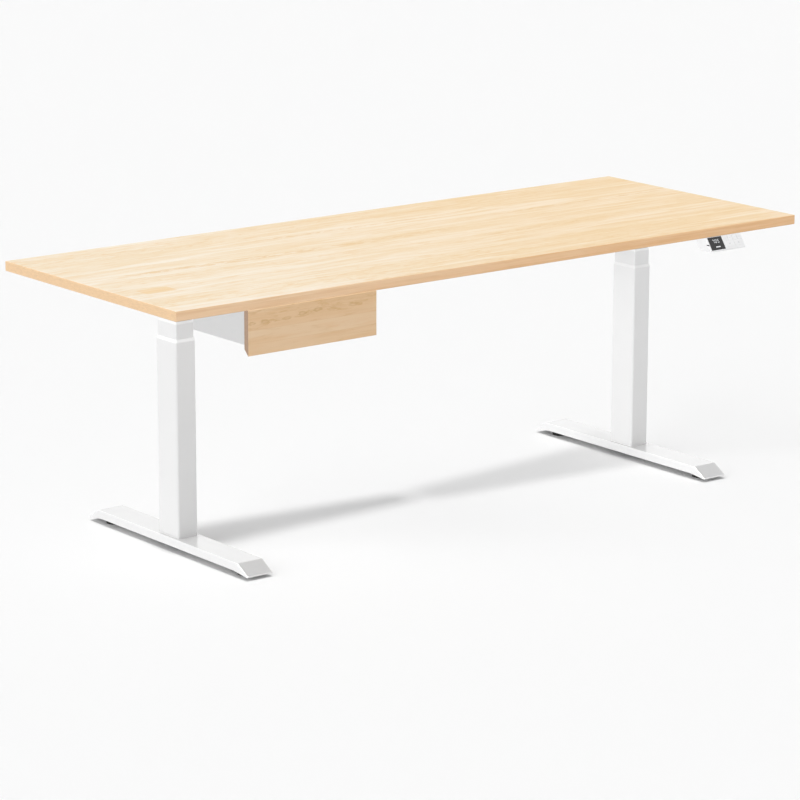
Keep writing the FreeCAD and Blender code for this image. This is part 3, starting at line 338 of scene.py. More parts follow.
def powder_coat(name, color, roughness=0.34, peel=0.00012, top_shade=None):
    """Baked powder coat: a fine orange peel, with slight tone changes and rubbed spots.

    Given a top tone, upward faces are painted that tone, a painted shade for how the light falls on them,
    and the whole piece has a glossy clear coat.
    """
    s = Shader(name)
    tone = s.noise(s.object_point, scale=6.0, detail=2.0)
    dust = s.noise(s.object_point, scale=900.0, detail=1.0)
    paint = s.mix(s.spread(tone, 0.3, 0.7, 0.0, 0.5), color, shade(color, 0.985))
    paint = s.mix(s.spread(dust, 0.62, 0.8, 0.0, 0.10), paint, shade(color, 0.93))
    # upward faces painted in the top tone: painted shade
    if top_shade:
        upward_shade = s.spread(s.split(s.normal)[2], 0.8, 0.97)
        top_shade_tint = tuple(t / c for t, c in zip(top_shade, color))
        paint = s.mix(upward_shade, paint, s.tinted(paint, top_shade_tint))
        s.set(Coat_Weight=1.0, Coat_IOR=1.9, Coat_Roughness=0.12)
    s.set(Base_Color=paint, IOR=1.5, Specular_IOR_Level=0.5)
    rub = s.noise(s.object_point, scale=14.0, detail=4.0)
    s.set(Roughness=s.spread(rub, 0.3, 0.75, roughness - 0.05, roughness + 0.07))
    grains = s.noise(s.object_point, scale=420.0, detail=2.0, roughness=0.6)
    s.bump(grains, peel, 0.28)
    return s.material


def plastic(name, color, roughness, grain_scale=1500.0, grain=0.00004, specular=0.5):
    """Moulded plastic with a spark-eroded texture."""
    s = Shader(name)
    flow = s.noise(s.object_point, scale=30.0, detail=2.0)
    tint = s.mix(s.spread(flow, 0.3, 0.7), color, shade(color, 0.95))
    s.set(Base_Color=tint, IOR=1.49, Specular_IOR_Level=specular)
    grains = s.noise(s.object_point, scale=grain_scale, detail=2.0)
    s.set(Roughness=s.spread(grains, 0.3, 0.7, roughness - 0.05, roughness + 0.06))
    s.bump(grains, grain, 0.5)
    return s.material


def glossy_panel(name, color):
    """A polished dark panel with faint smears."""
    s = Shader(name)
    smear_at = s.stretched(s.object_point, (40.0, 140.0, 90.0))
    smears = s.noise(smear_at, detail=4.0, roughness=0.6, distortion=0.5)
    s.set(Base_Color=s.mix(s.spread(smears, 0.4, 0.8, 0.0, 0.6), color, shade(color, 1.9)), IOR=1.5)
    s.set(Roughness=s.spread(smears, 0.35, 0.75, 0.12, 0.30), Specular_IOR_Level=0.45)
    return s.material


def brushed(name, color, along=(1.0, 1.0, 1.0), roughness=0.32, tarnish=0.12):
    """Bare or plated metal. along is small on the axis that the brush marks follow."""
    s = Shader(name)
    marks_at = s.stretched(s.object_point, tuple(700.0 * a for a in along))
    marks = s.noise(marks_at, detail=3.0, roughness=0.65)
    cloud = s.noise(s.object_point, scale=35.0, detail=4.0)
    tint = s.mix(s.spread(cloud, 0.35, 0.7, 0.0, tarnish * 4), color, shade(color, 0.78))
    tint = s.mix(s.spread(marks, 0.35, 0.75, 0.0, 0.35), tint, shade(color, 1.15))
    s.set(Base_Color=tint, Metallic=1.0)
    s.set(Roughness=s.spread(marks, 0.25, 0.75, roughness - 0.08, roughness + 0.14))
    s.bump(marks, 0.00005, 0.4)
    return s.material


def rubber(name, color, roughness=0.7):
    """Fine-grained rubber or cable jacket with a paler bloom."""
    s = Shader(name)
    grains = s.noise(s.object_point, scale=1100.0, detail=3.0, roughness=0.7)
    bloom = s.noise(s.object_point, scale=60.0, detail=4.0)
    s.set(Base_Color=s.mix(s.spread(bloom, 0.35, 0.75, 0.0, 0.8), color, shade(color, 2.2)))
    s.set(Roughness=s.spread(grains, 0.3, 0.7, roughness - 0.1, roughness + 0.1), Specular_IOR_Level=0.35)
    s.bump(grains, 0.00008, 0.5)
    return s.material


def circuit_board(name, color):
    """Solder resist with lighter tracks, which cross X in some patches and Y in the others."""
    tracks_per_metre, gap = 260.0, 0.72
    s = Shader(name)
    x, y, _ = s.split(s.object_point)
    track_x, track_y = (
        s.math("GREATER_THAN", s.math("FRACT", s.times(place, tracks_per_metre)), gap) for place in (x, y)
    )
    choose = s.math("GREATER_THAN", s.noise(s.object_point, scale=90.0, detail=1.0), 0.5)
    other = s.math("SUBTRACT", 1.0, choose)
    tracks = s.times(s.math("MAXIMUM", s.times(track_x, choose), s.times(track_y, other)), 0.6)
    s.set(Base_Color=s.mix(tracks, color, shade(color, 2.4)))
    s.set(Roughness=s.spread(tracks, 0.0, 0.6, 0.42, 0.3))
    s.bump(tracks, 0.00004, 0.5)
    return s.material


def glow(name, color, strength):
    """A lit segment whose brightness ripples a little."""
    s = Shader(name, Roughness=0.4)
    ripple = s.noise(s.object_point, scale=1800.0, detail=1.0)
    lit = s.mix(s.spread(ripple, 0.3, 0.7), color, shade(color, 0.9))
    s.set(Base_Color=lit, Emission_Color=lit, Emission_Strength=strength)
    return s.material


# rows of curls on the board, each (y, half width, first x, last x)
BOARD_LANES = (
    (0.040, 0.020, -0.98, 0.25), (-0.150, 0.014, -1.08, -0.80), (0.215, 0.012, -0.45, 0.30),
    (-0.075, 0.012, 0.05, 0.70), (0.130, 0.014, 0.30, 1.05),
)


def board_maple():
    """Wide planks, paler at the left end, where painted sheen lightens the wood, and golden at the right,
    with rows of curls.
    """
    wood = Maple(
        "maple_board",
        # the paler left tones are painted sheen on the wood
        left=((0.882, 0.803, 0.690), (0.830, 0.685, 0.487)),
        right=((0.871, 0.734, 0.564), (0.794, 0.583, 0.327)),
        streak=(0.780, 0.555, 0.295), end_grain=(0.890, 0.630, 0.390), plank=0.125, plank_offset=1.0,
    )
    wood.add_curls(BOARD_LANES)
    wood.add_patch(x=-0.900, y=-0.141, half_length=0.047, half_width=0.029)
    wood.add_edge(left=(0.985, 0.700, 0.460), right=(0.965, 0.630, 0.365))
    return wood.finish()


def drawer_front_maple():
    """Narrow planks one above the other, with a row of cat's eyes."""
    plank = 0.0332
    joint_z = 0.5896
    wood = Maple(
        "maple_drawer_front",
        left=((0.960, 0.700, 0.460), (0.930, 0.630, 0.370)),
        right=((0.950, 0.680, 0.430), (0.910, 0.600, 0.340)),
        streak=(0.790, 0.500, 0.235), end_grain=(0.460, 0.320, 0.230), plank=plank,
        plank_offset=plank - joint_z % plank, across="z",
    )
    wood.add_eyes(first_x=-0.792, spacing=0.051, left_z=0.638, right_z=0.650)
    return wood.finish()


MATERIALS = {
    "maple_board": board_maple(),
    "maple_drawer_front": drawer_front_maple(),
    "white_powder_coat": powder_coat("white_powder_coat", grey(0.85)),
    "black_paint": powder_coat("black_paint", BASE_COLOR["black_paint"], roughness=0.4),
    "white_plastic": plastic("white_plastic", (0.93, 0.93, 0.935), 0.42),
    "white_keys": plastic("white_keys", (0.95, 0.95, 0.955), 0.5, specular=0.3),
    "black_plastic": plastic("black_plastic", BASE_COLOR["black_plastic"], 0.5),
    "black_gloss": glossy_panel("black_gloss", BASE_COLOR["black_gloss"]),
    "black_rubber": rubber("black_rubber", BASE_COLOR["black_rubber"]),
    "cable_black": rubber("cable_black", BASE_COLOR["cable_black"], roughness=0.5),
    "zinc_steel": brushed("zinc_steel", BASE_COLOR["zinc_steel"], along=(1.0, 0.15, 1.0)),
    "black_steel": brushed("black_steel", BASE_COLOR["black_steel"], roughness=0.42),
    "screw_steel": brushed("screw_steel", BASE_COLOR["screw_steel"], along=(1.0, 1.0, 6.0), roughness=0.25),
    "brass": brushed("brass", BASE_COLOR["brass"], along=(1.0, 1.0, 5.0), roughness=0.28),
    "circuit_board": circuit_board("circuit_board", BASE_COLOR["circuit_board"]),
}
# a paler copy of the white paint on the collars: painted highlight for the light their lips catch
COLLAR_HIGHLIGHT_PAINT = powder_coat("collar_painted_highlight", grey(0.91), roughness=0.36)
# white paint whose upward faces are painted darker: painted shade on the foot tops
FOOT_PAINT_SHADED_TOP = powder_coat("foot_paint_shaded_top", grey(0.85), roughness=0.38, peel=0.00001, top_shade=grey(0.61))
# a grey copy of the white paint: painted shade for the feet's sloping ends
FOOT_END_SHADE_PAINT = powder_coat("foot_end_painted_shade", grey(0.58), roughness=0.36)
MARK_INK = plastic("mark_ink", (0.76, 0.76, 0.77), 0.5)
# near-black plates for the screw and bolt recesses: painted shade
RECESS_SHADE = plastic("recess_painted_shade", grey(0.02), 0.7)
LIT = glow("lit_segment", (0.80, 0.82, 0.84), 0.22)


def paint(obj, material):
    """Gives a piece one material."""
    obj.data.materials.clear()
    obj.data.materials.append(material)


for node_name, node in nodes.items():
    paint(node, MATERIALS[SLOT_OF[node_name]])
for node_name in ("outer_collars", "left_middle_collar", "right_middle_collar"):
    paint(nodes[node_name], COLLAR_HIGHLIGHT_PAINT)
for node_name in ("foot_left", "foot_right"):
    paint(nodes[node_name], FOOT_PAINT_SHADED_TOP)


# ------------------------------------------------------------------ small pieces
class Build:
    """Closed shapes gathered into one piece."""

    SHARP_ANGLE = math.radians(32)

    def __init__(self):
        self.points = []
        self.faces = []

    def loft(self, rings):
        """A closed shape through rings that all have the same number of points."""
        first = len(self.points)
        count = len(rings[0])
        for ring in rings:
            self.points.extend(ring)
        for level in range(len(rings) - 1):
            low = first + level * count
            for i in range(count):
                j = (i + 1) % count
                self.faces.append((low + i, low + j, low + count + j, low + count + i))
        self.faces.append(tuple(first + i for i in reversed(range(count))))
        last = first + (len(rings) - 1) * count
        self.faces.append(tuple(last + i for i in range(count)))

    def plate(self, place, outline, low, high, chamfer):
        """A flat shape with a chamfered rim.

        place is (origin, right, up) and outline goes round anticlockwise, seen from outside.
        """
        origin, right, up = place
        out = right.cross(up)

        def ring(points, height):
            return [origin + right * u + up * v + out * height for u, v in points]

        self.loft([ring(outline, low), ring(outline, high - chamfer), ring(inset(outline, chamfer), high)])

    def turned(self, place, profile, sides=28):
        """A turned shape: profile is (radius, height) pairs along place's outward axis."""
        origin, right, up = place
        out = right.cross(up)
        turns = [2 * math.pi * i / sides for i in range(sides)]
        rings = []
        for radius, height in profile:
            rings.append([
                origin + out * height + (right * math.cos(t) + up * math.sin(t)) * radius for t in turns
            ])
        self.loft(rings)

    def piece(self, name, body, slot, material=None):
        """The finished object. Its material is the slot's unless another is given."""
        mesh = bpy.data.meshes.new(name)
        mesh.from_pydata([tuple(p) for p in self.points], [], self.faces)
        mesh.validate()
        shape = bmesh.new()
        shape.from_mesh(mesh)
        bmesh.ops.recalc_face_normals(shape, faces=shape.faces)
        shape.to_mesh(mesh)
        shape.free()
        mesh.polygons.foreach_set("use_smooth", [True] * len(mesh.polygons))
        mesh.set_sharp_from_angle(angle=self.SHARP_ANGLE)
        obj = bpy.data.objects.new(name, mesh)
        bpy.context.scene.collection.objects.link(obj)
        mesh.materials.append(material or MATERIALS[slot])
        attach(obj, body)
        return obj


def inset(outline, by):
    """The outline moved inwards by a small margin."""
    moved = []
    count = len(outline)
    for i in range(count):
        before = Vector(outline[i - 1])
        here = Vector(outline[i])
        after = Vector(outline[(i + 1) % count])
        way_in = (here - before).normalized()
        way_out = (after - here).normalized()
        normal_in = Vector((-way_in.y, way_in.x))
        normal_out = Vector((-way_out.y, way_out.x))
        miter = (normal_in + normal_out) / max(0.2, 1 + normal_in.dot(normal_out))
        moved.append(tuple(here + miter * by))
    return moved


def rectangle(x0, x1, y0, y1, cut=0.0):
    """A rectangle with its corners cut off."""
    if not cut:
        return [(x0, y0), (x1, y0), (x1, y1), (x0, y1)]
    return [
        (x0 + cut, y0), (x1 - cut, y0), (x1, y0 + cut), (x1, y1 - cut),
        (x1 - cut, y1), (x0 + cut, y1), (x0, y1 - cut), (x0, y0 + cut),
    ]


def polygon(radius, sides):
    """The corners of a regular polygon."""
    turns = [2 * math.pi * i / sides for i in range(sides)]
    return [(radius * math.cos(t), radius * math.sin(t)) for t in turns]


def cross(reach, half):
    """A plus sign whose arms are reach long and twice half wide."""
    return [
        (-half, -reach), (half, -reach), (half, -half), (reach, -half), (reach, half), (half, half),
        (half, reach), (-half, reach), (-half, half), (-reach, half), (-reach, -half), (-half, -half),
    ]


def middle(node_name):
    """The middle of a node's box."""
    low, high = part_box(node_name)
    return (low + high) / 2


X = Vector((1, 0, 0))
Y = Vector((0, 1, 0))
Z = Vector((0, 0, 1))
LEG = middle("foot_right")
MOTOR_Z = middle("left_motor").z


def add_foot_ends():
    """A flat cap on each sloping end of the feet, a little smaller than the slope, in grey paint that is
    painted shade for the slope.
    """
    flange, ledge, cut_back = 0.0025, 0.0026, 0.0415
    low_margin, high_margin, corner = 0.0012, 0.0010, 0.0012
    low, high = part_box("foot_right")
    half_length = (high.y - low.y) / 2
    half_width = (high.x - low.x) / 2 - ledge
    tip_z = low.z + flange
    slope = Vector((0, -cut_back, high.z - tip_z))
    outline = rectangle(-half_width, half_width, low_margin, slope.length - high_margin, corner)
    for side, sign in (("left", -1), ("right", 1)):
        for end, way in (("front", -1), ("rear", 1)):
            tip = Vector((sign * LEG.x, LEG.y + way * half_length, tip_z))
            up = Vector((0, slope.y * way, slope.z)).normalized()
            build = Build()
            build.plate((tip, X * -way, up), outline, -0.0004, 0.0003, 0.00025)
            build.piece(f"foot_end_{side}_{end}", "base", "white_plastic", FOOT_END_SHADE_PAINT)


# the controller's sloping face
FACE_LEAN = math.radians(34.5)
FACE_UP = Vector((0, math.sin(FACE_LEAN), math.cos(FACE_LEAN)))
FACE_MIDDLE = Vector((0, -0.373324, 0.656523))
WINDOW_X = (0.683, 0.732)
WINDOW_HALF_HEIGHT = 0.0185
WINDOW_PROUD = 0.00015
KEY_PROUD = 0.0008
KEYS_X = (0.7364, 0.7986)
KEY_GAP = 0.002
UPPER_KEYS = (0.003, 0.017)
LOWER_KEYS = (-0.0132, 0.001)
SEGMENTS = {"7": "abc", "0": "abcdef", "5": "afgcd"}


def face_place(x, s, proud):
    """A place at x and s up the face from the middle of the window, proud of it."""
    out = X.cross(FACE_UP)
    return (FACE_MIDDLE + X * x + FACE_UP * s + out * proud, X, FACE_UP)


def add_display():
    """Three lit seven-segment digits and a small lit bar behind the dark pane."""
    middle_x = sum(WINDOW_X) / 2
    digit_width, digit_height, pitch, stroke = 0.0056, 0.0100, 0.0085, 0.0012
    digits = Build()
    middle_s = WINDOW_HALF_HEIGHT - 0.33 * 2 * WINDOW_HALF_HEIGHT
    w, h, t = digit_width / 2, digit_height / 2, stroke
    bars = {
        "a": (-w + t / 2, w - t / 2, h - t, h), "d": (-w + t / 2, w - t / 2, -h, -h + t),
        "g": (-w + t / 2, w - t / 2, -t / 2, t / 2),
        "f": (-w, -w + t, t / 4, h - t / 4), "e": (-w, -w + t, -h + t / 4, -t / 4),
        "b": (w - t, w, t / 4, h - t / 4), "c": (w - t, w, -h + t / 4, -t / 4),
    }
    for n, digit in enumerate("705"):
        place = face_place(middle_x + (n - 1) * pitch, middle_s, WINDOW_PROUD)
        for segment in SEGMENTS[digit]:
            digits.plate(place, rectangle(*bars[segment], cut=t * 0.3), 0.0, 0.00006, 0.00003)
    digits.piece("display_digits", "desktop", "white_keys", LIT)
    bar = Build()
    bar_s = WINDOW_HALF_HEIGHT - 0.77 * 2 * WINDOW_HALF_HEIGHT
    bar_x = WINDOW_X[0] + 0.53 * (WINDOW_X[1] - WINDOW_X[0])
    outline = rectangle(-0.008, 0.008, -0.0014, 0.0014, 0.0008)
    bar.plate(face_place(bar_x, bar_s, WINDOW_PROUD), outline, 0.0, 0.00006, 0.00003)
    bar.piece("display_bar", "desktop", "white_keys", LIT)


def add_key_marks():
    """Raised marks: an arrow on each travel key, and one to four dots on the memory keys."""
    span = KEYS_X[1] - KEYS_X[0]
    wide = (span - KEY_GAP) / 2
    row_s = sum(LOWER_KEYS) / 2
    for n, (name, way) in enumerate((("down", -1), ("up", 1))):
        x = KEYS_X[0] + wide / 2 + n * (wide + KEY_GAP)
        arrow = [(-0.0042, -0.0022), (0.0, -0.0010), (0.0042, -0.0022), (0.0, 0.0030)]
        outline = arrow if way > 0 else [(-u, -v) for u, v in arrow]
        build = Build()
        build.plate(face_place(x, row_s, KEY_PROUD), outline, -0.0001, 0.0001, 0.00005)
        build.piece(f"{name}_mark", f"{name}_button", "white_keys", MARK_INK)
    narrow = (span - 3 * KEY_GAP) / 4
    row_s = sum(UPPER_KEYS) / 2
    for n in range(4):
        x = KEYS_X[0] + narrow / 2 + n * (narrow + KEY_GAP)
        build = Build()
        for dot in range(n + 1):
            dot_x = x + (dot - n / 2) * 0.0024
            build.plate(face_place(dot_x, row_s, KEY_PROUD), polygon(0.00075, 12), -0.0001, 0.0001, 0.00005)
        build.piece(f"memory_{n + 1}_mark", f"memory_{n + 1}_button", "white_keys", MARK_INK)


def add_service_port():
    """The dark socket in the controller's left end, with its contact tongue."""
    low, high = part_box("handset_housing")
    place = (Vector((low.x + 0.0005, low.y + 0.0135, high.z - 0.019)), -Y, Z)
    build = Build()
    build.plate(place, rectangle(-0.0043, 0.0043, -0.0013, 0.0013, 0.0004), -0.0014, 0.0, 0.0002)
    build.plate(place, rectangle(-0.0030, 0.0030, -0.0004, 0.0004), -0.0002, 0.0003, 0.0001)
    build.piece("service_port", "desktop", "black_plastic")


def add_rail_caps():
    """Plugs in the open ends of the two rails."""
    rim, wall = 0.0003, 0.0022
    for rail in ("front_rail", "rear_rail"):
        low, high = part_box(rail)
        half_y = (high.y - low.y) / 2
        half_z = (high.z - low.z) / 2
        lid = rectangle(-half_y + rim, half_y - rim, -half_z + rim, half_z - rim, 0.0028)
        plug = rectangle(-half_y + wall, half_y - wall, -half_z + wall, half_z - wall, 0.001)
        build = Build()
        for sign in (-1, 1):
            place = (Vector((sign * high.x, middle(rail).y, middle(rail).z)), Y * sign, Z)
            build.plate(place, lid, 0.0, 0.0016, 0.0006)
            build.plate(place, plug, -0.012, 0.0, 0.0)
        build.piece(f"{rail}_caps", "desktop", "black_plastic")


# turned profiles, as (radius, height) pairs outwards from the surface
LEAD_BOOT = (
    (0.0049, 0.0), (0.0049, 0.0015), (0.0040, 0.0021), (0.0040, 0.0031),
    (0.0045, 0.0036), (0.0045, 0.0046), (0.0037, 0.0051), (0.0037, 0.0060),
    (0.0041, 0.0065), (0.0041, 0.0074), (0.0031, 0.0086), (0.0027, 0.0088),
)
MOTOR_BAND = ((0.0198, 0.0), (0.0206, 0.0006), (0.0206, 0.0034), (0.0198, 0.004))
MOTOR_SCREW = ((0.0019, -0.0005), (0.0019, 0.0009), (0.0014, 0.0014))
CASE_SCREW = ((0.0030, -0.0004), (0.0030, 0.0010), (0.0022, 0.0016))
LAMP = ((0.0016, -0.0004), (0.0016, 0.0006), (0.0010, 0.0011))
DOMED_SCREW = ((0.0042, -0.0004), (0.0042, 0.0009), (0.0030, 0.0022), (0.0012, 0.0026))


def add_lead_boots():
    """Ribbed sleeves where the leads leave the motors, the control box and the controller."""
    box_low, box_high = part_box("control_box")
    box_y = middle("control_box").y
    gland_z = box_low.z + 0.015
    places = []
    for sign in (-1, 1):
        motor_low, motor_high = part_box("left_motor" if sign < 0 else "right_motor")
        motor_end = motor_high.x if sign < 0 else motor_low.x
        places.append((Vector((motor_end, LEG.y, MOTOR_Z)), Y * -sign, Z))
        places.append((Vector((sign * box_high.x, box_y + 0.020, gland_z)), Y * sign, Z))
    places.append((Vector((box_high.x, box_y - 0.014, gland_z)), Y, Z))
    _, handset_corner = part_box("handset_housing")
    lead_exit = handset_corner - Vector((0.0335, 0.018, 0.009))
    places.append((lead_exit, Z, X))
    build = Build()
    for place in places:
        build.turned(place, LEAD_BOOT, 20)
    build.piece("lead_boots", "desktop", "black_rubber")


def add_motor_details():
    """Clamp bands and end screws on the tube motors."""
    shoulder, screw_circle = 0.1220, 0.0172  # from the gearbox to the motor's end face, and round its axis
    gearbox_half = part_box("gearboxes")[1].x - LEG.x
    for side, sign in (("left", -1), ("right", 1)):
        start = Vector((sign * (LEG.x - gearbox_half), LEG.y, MOTOR_Z))
        bands = Build()
        for along in (0.030, 0.062, 0.094):
            bands.turned((start - X * sign * along, Y * -sign, Z), MOTOR_BAND, 48)
        bands.piece(f"{side}_motor_bands", "desktop", "black_steel")
        end = start - X * sign * shoulder
        screws = Build()
        for turn in (math.radians(90), math.radians(210), math.radians(330)):
            at = end + (Y * math.cos(turn) + Z * math.sin(turn)) * screw_circle
            screws.turned((at, Y * -sign, Z), MOTOR_SCREW, 16)
        screws.piece(f"{side}_motor_screws", "desktop", "screw_steel")


def add_box_details():
    """Vent ribs, case screws and a status lamp on the control box's underside."""
    rib_count, rib_pitch, first_rib_x, lamp_x = 9, 0.008, -0.080, 0.070
    low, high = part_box("control_box")
    middle_y = (low.y + high.y) / 2

    def under(x, y):
        return (Vector((x, y, low.z)), X, -Y)

    rib = rectangle(-0.0014, 0.0014, -0.022, 0.022, 0.0012)
    ribs = Build()
    for n in range(rib_count):
        ribs.plate(under(first_rib_x + rib_pitch * n, middle_y), rib, -0.0004, 0.0007, 0.0003)
    ribs.piece("control_box_ribs", "desktop", "black_plastic")
    screws = Build()
    for x in (low.x + 0.013, high.x - 0.013):
        for y in (low.y + 0.012, high.y - 0.012):
            screws.turned(under(x, y), CASE_SCREW, 18)
    screws.piece("control_box_screws", "desktop", "black_steel")
    lamp = Build()
    lamp.turned(under(lamp_x, middle_y), LAMP, 16)
    lamp.piece("control_box_lamp", "desktop", "white_plastic")


def shape_boxes(node_name):
    """The lowest and highest corner of each separate shape in a node, from left to right."""
    mesh = nodes[node_name].data
    parent = list(range(len(mesh.vertices)))

    def root(i):
        while parent[i] != i:
            parent[i] = parent[parent[i]]
            i = parent[i]
        return i

    seen = {}
    for vertex in mesh.vertices:
        key = tuple(round(c * 1e6) for c in vertex.co)
        if key in seen:
            parent[root(vertex.index)] = root(seen[key])
        seen[key] = vertex.index
    for edge in mesh.edges:
        parent[root(edge.vertices[0])] = root(edge.vertices[1])
    boxes = {}
    for vertex in mesh.vertices:
        low, high = boxes.setdefault(root(vertex.index), (vertex.co.copy(), vertex.co.copy()))
        for axis in range(3):
            low[axis] = min(low[axis], vertex.co[axis])
            high[axis] = max(high[axis], vertex.co[axis])
    return sorted(boxes.values(), key=lambda pair: tuple(pair[0]))


def add_screw_recesses():
    """Cross recesses under the wood screws' heads and hexagons in the frame bolts' heads, as near-black
    plates: painted shade for the recesses' depth.
    """
    sunk, proud, chamfer = -0.0002, 0.00005, 0.00002
    crosses = Build()
    for n, (low, high) in enumerate(shape_boxes("board_screws")):
        at = Vector(((low.x + high.x) / 2, (low.y + high.y) / 2, low.z))
        turn = math.radians(37 * n % 90)  # no two neighbours stopped at the same turn
        right = X * math.cos(turn) + Y * math.sin(turn)
        crosses.plate((at, right, right.cross(Z)), cross(0.0019, 0.0004), sunk, proud, chamfer)
    crosses.piece("screw_recesses", "desktop", "screw_steel", RECESS_SHADE)
    sockets = Build()
    for low, high in shape_boxes("frame_bolts"):
        at = (low + high) / 2
        front = at.y < LEG.y
        at.y = low.y if front else high.y
        sockets.plate((at, X if front else -X, Z), polygon(0.0028, 6), sunk, proud, chamfer)
    sockets.piece("bolt_sockets", "desktop", "black_steel", RECESS_SHADE)


def add_drawer_details():
    """Screws inside the drawer that hold its front to the tray."""
    sheet = 0.0015
    low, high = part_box("drawer_tray")
    screws = Build()
    for x in (low.x + 0.040, (low.x + high.x) / 2, high.x - 0.040):
        for z in (low.z + 0.015, high.z - 0.014):
            screws.turned((Vector((x, low.y + sheet, z)), X, -Z), DOMED_SCREW, 20)
    screws.piece("drawer_front_screws", "drawer", "screw_steel")


add_foot_ends()
add_display()
add_key_marks()
add_service_port()
add_rail_caps()
add_lead_boots()
add_motor_details()
add_box_details()
add_screw_recesses()
add_drawer_details()


# ------------------------------------------------------------------ stage, light and camera
FLOOR_ALBEDO = 0.895
FLOOR_REACH = 60.0
SHADOW_CARD_Z = 0.55
CAMERA_AT = Vector((-5.3997, -6.8292, 2.3930))
CAMERA_TURN = math.radians(38.061)  # from +Y towards +X
CAMERA_DOWN = math.radians(13.721)
CAMERA_ROLL = math.radians(0.108)
CAMERA_REACH = 200.0
LENS_MM = 154.72
SENSOR_MM = 36.0


def link(obj):
    bpy.context.scene.collection.objects.link(obj)


def flat_sheet(name, corners, material):
    """A single face."""
    mesh = bpy.data.meshes.new(name)
    mesh.from_pydata(corners, [], [(0, 1, 2, 3)])
    mesh.materials.append(material)
    sheet = bpy.data.objects.new(name, mesh)
    link(sheet)
    return sheet


def add_floor():
    """A wide matt floor."""
    s = Shader("studio_floor", Base_Color=grey(FLOOR_ALBEDO), Roughness=1.0, Specular_IOR_Level=0.0)
    outline = rectangle(-FLOOR_REACH, FLOOR_REACH, -FLOOR_REACH, FLOOR_REACH)
    floor = flat_sheet("floor", [(x, y, 0) for x, y in outline], s.material)


def add_world(strength, shine, backdrop):
    """An even white room, like a cyclorama.

    strength is the light it gives, shine how bright it looks in reflections, and backdrop how bright
    it looks behind the floor's far edge.
    """
    world = bpy.data.worlds.new("studio")
    bpy.context.scene.world = world
    world.use_nodes = True
    tree = world.node_tree
    background = tree.nodes["Background"]
    background.inputs["Color"].default_value = (1, 1, 1, 1)
    path = tree.nodes.new("ShaderNodeLightPath")

    def extra_for(ray, extra):
        """A node that adds extra to its last input, for that kind of ray only."""
        node = tree.nodes.new("ShaderNodeMath")
        node.operation = "MULTIPLY_ADD"
        tree.links.new(path.outputs[ray], node.inputs[0])
        node.inputs[1].default_value = extra
        return node

    level = extra_for("Is Glossy Ray", shine - strength)
    level.inputs[2].default_value = strength
    seen = extra_for("Is Camera Ray", backdrop - strength)
    tree.links.new(level.outputs[0], seen.inputs[2])
    tree.links.new(seen.outputs[0], background.inputs["Strength"])


def add_sun(name, direction, irradiance, angle_deg, blockers, receivers=None):
    """A distant soft light that shines along direction. irradiance is in units of pi."""
    data = bpy.data.lights.new(name, "SUN")
    data.energy = irradiance * math.pi
    data.angle = math.radians(angle_deg)
    sun = bpy.data.objects.new(name, data)
    sun.rotation_euler = Vector(direction).to_track_quat("-Z", "Y").to_euler()
    link(sun)
    sun.light_linking.blocker_collection = blockers
    if receivers:
        sun.light_linking.receiver_collection = receivers


def light_group(name, members, state):
    """The pieces that a light or its shadows reach: with "INCLUDE" only the members, else all others."""
    group = bpy.data.collections.new(name)
    for member in members:
        group.objects.link(member)
    for entry in group.collection_objects:
        entry.light_linking.link_state = state
    return group


def gauze(name, opacity):
    """A white cloth that lets part of the light through."""
    s = Shader(name)
    clear = s.add("ShaderNodeBsdfTransparent")
    blend = s.add("ShaderNodeMixShader")
    s.put(blend.inputs[0], opacity)
    s.put(blend.inputs[1], clear.outputs[0])
    s.put(blend.inputs[2], s.surface.outputs[0])
    s.put(s.tree.nodes["Material Output"].inputs["Surface"], blend.outputs[0])
    return s.material


def add_shadow_card(name, x0, x1, y0, y1, half0, half1, opacity):
    """An unseen strip that dims the light from above, as the frame under the board would.

    Its middle runs from (x0, y0) to (x1, y1) and its half width from half0 to half1.
    """
    outline = [(x0, y0 - half0), (x1, y1 - half1), (x1, y1 + half1), (x0, y0 + half0)]
    card = flat_sheet(name, [(x, y, SHADOW_CARD_Z) for x, y in outline], gauze(name + "_gauze", opacity))
    card.visible_camera = False
    card.visible_diffuse = False
    card.visible_glossy = False
    card.visible_transmission = False
    return card


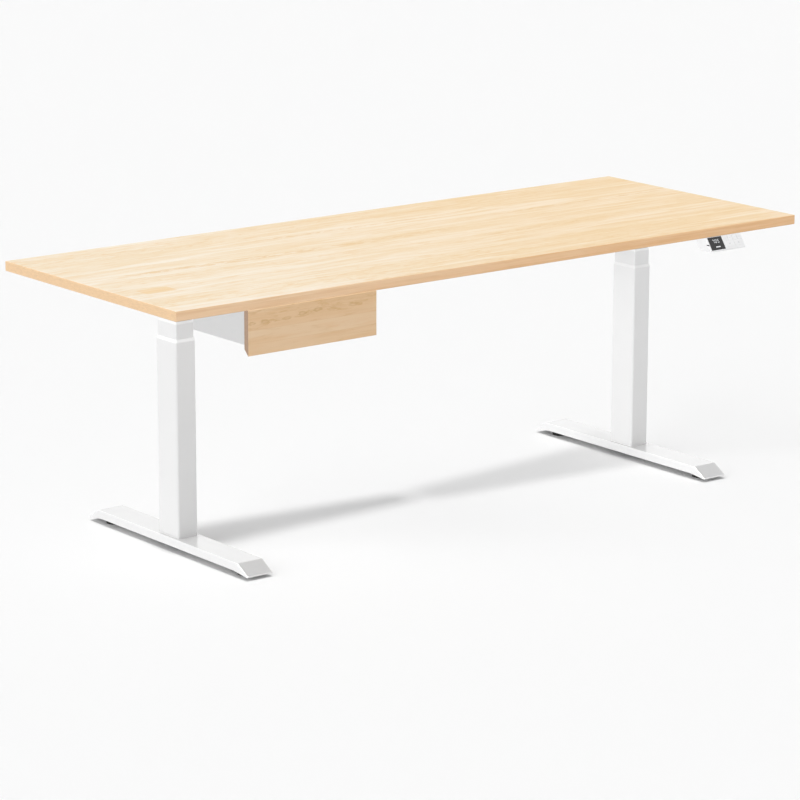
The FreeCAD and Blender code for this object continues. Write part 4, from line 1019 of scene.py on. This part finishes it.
def add_lights():
    """A studio light overhead, wide light from the left and from above, and three weak fills."""
    cards = [
        add_shadow_card("shadow_card_left", -0.71, 0.00, 0.056, 0.032, 0.092, 0.045, 0.78),
        add_shadow_card("shadow_card_right", 0.03, 0.76, 0.025, 0.036, 0.055, 0.128, 0.55),
    ]
    board = nodes["board"]
    case = nodes["drawer_case"]
    on_the_floor = [
        node for name, node in nodes.items()
        if name.startswith(("foot_", "glide_")) or "outer_column" in name
    ]
    right_leg = [
        node for name, node in nodes.items()
        if name in ("foot_right", "outer_collars") or name.startswith("right_")
    ]
    from_above = light_group("from_above", on_the_floor + cards, "INCLUDE")
    from_around = light_group("from_around", [board] + cards, "EXCLUDE")
    not_the_case = light_group("not_the_case", [case], "EXCLUDE")
    only_the_case = light_group("only_the_case", [case], "INCLUDE")
    only_the_board = light_group("only_the_board", [board], "INCLUDE")
    only_the_right_leg = light_group("only_the_right_leg", right_leg, "INCLUDE")
    down, from_the_left = (0, 0, -1), (0.464, 0, -0.25)
    add_sun("overhead", down, 0.485, 10.0, from_above)
    add_sun("window", from_the_left, 0.385, 60.0, from_around, not_the_case)
    add_sun("dome", down, 0.215, 179.0, from_around)
    add_sun("case_fill", from_the_left, 0.11, 60.0, from_around, only_the_case)
    add_sun("edge_fill", (0.1, 0.9, -0.1), 0.07, 40.0, from_around, only_the_board)
    add_sun("right_fill", (0.85, 0.35, -0.35), 0.19, 60.0, from_around, only_the_right_leg)
    board.visible_diffuse = False  # so its underside throws no warm light on the floor


def add_camera():
    """The camera solved from the straight edges in the photo."""
    forward = Vector((
        math.sin(CAMERA_TURN) * math.cos(CAMERA_DOWN), math.cos(CAMERA_TURN) * math.cos(CAMERA_DOWN),
        -math.sin(CAMERA_DOWN),
    ))
    level_right = Vector((math.cos(CAMERA_TURN), -math.sin(CAMERA_TURN), 0))
    level_up = level_right.cross(forward)
    right = math.cos(CAMERA_ROLL) * level_right + math.sin(CAMERA_ROLL) * level_up
    up = -math.sin(CAMERA_ROLL) * level_right + math.cos(CAMERA_ROLL) * level_up
    data = bpy.data.cameras.new("camera")
    data.lens = LENS_MM
    data.sensor_width = SENSOR_MM
    data.clip_end = CAMERA_REACH
    camera = bpy.data.objects.new("camera", data)
    turn = Matrix((right, up, -forward)).transposed().to_4x4()
    camera.matrix_world = Matrix.Translation(CAMERA_AT) @ turn
    link(camera)
    bpy.context.scene.camera = camera


add_floor()
add_lights()
add_world(strength=0.19, shine=1.0, backdrop=0.963)
add_camera()
bpy.context.scene.view_settings.view_transform = "Standard"
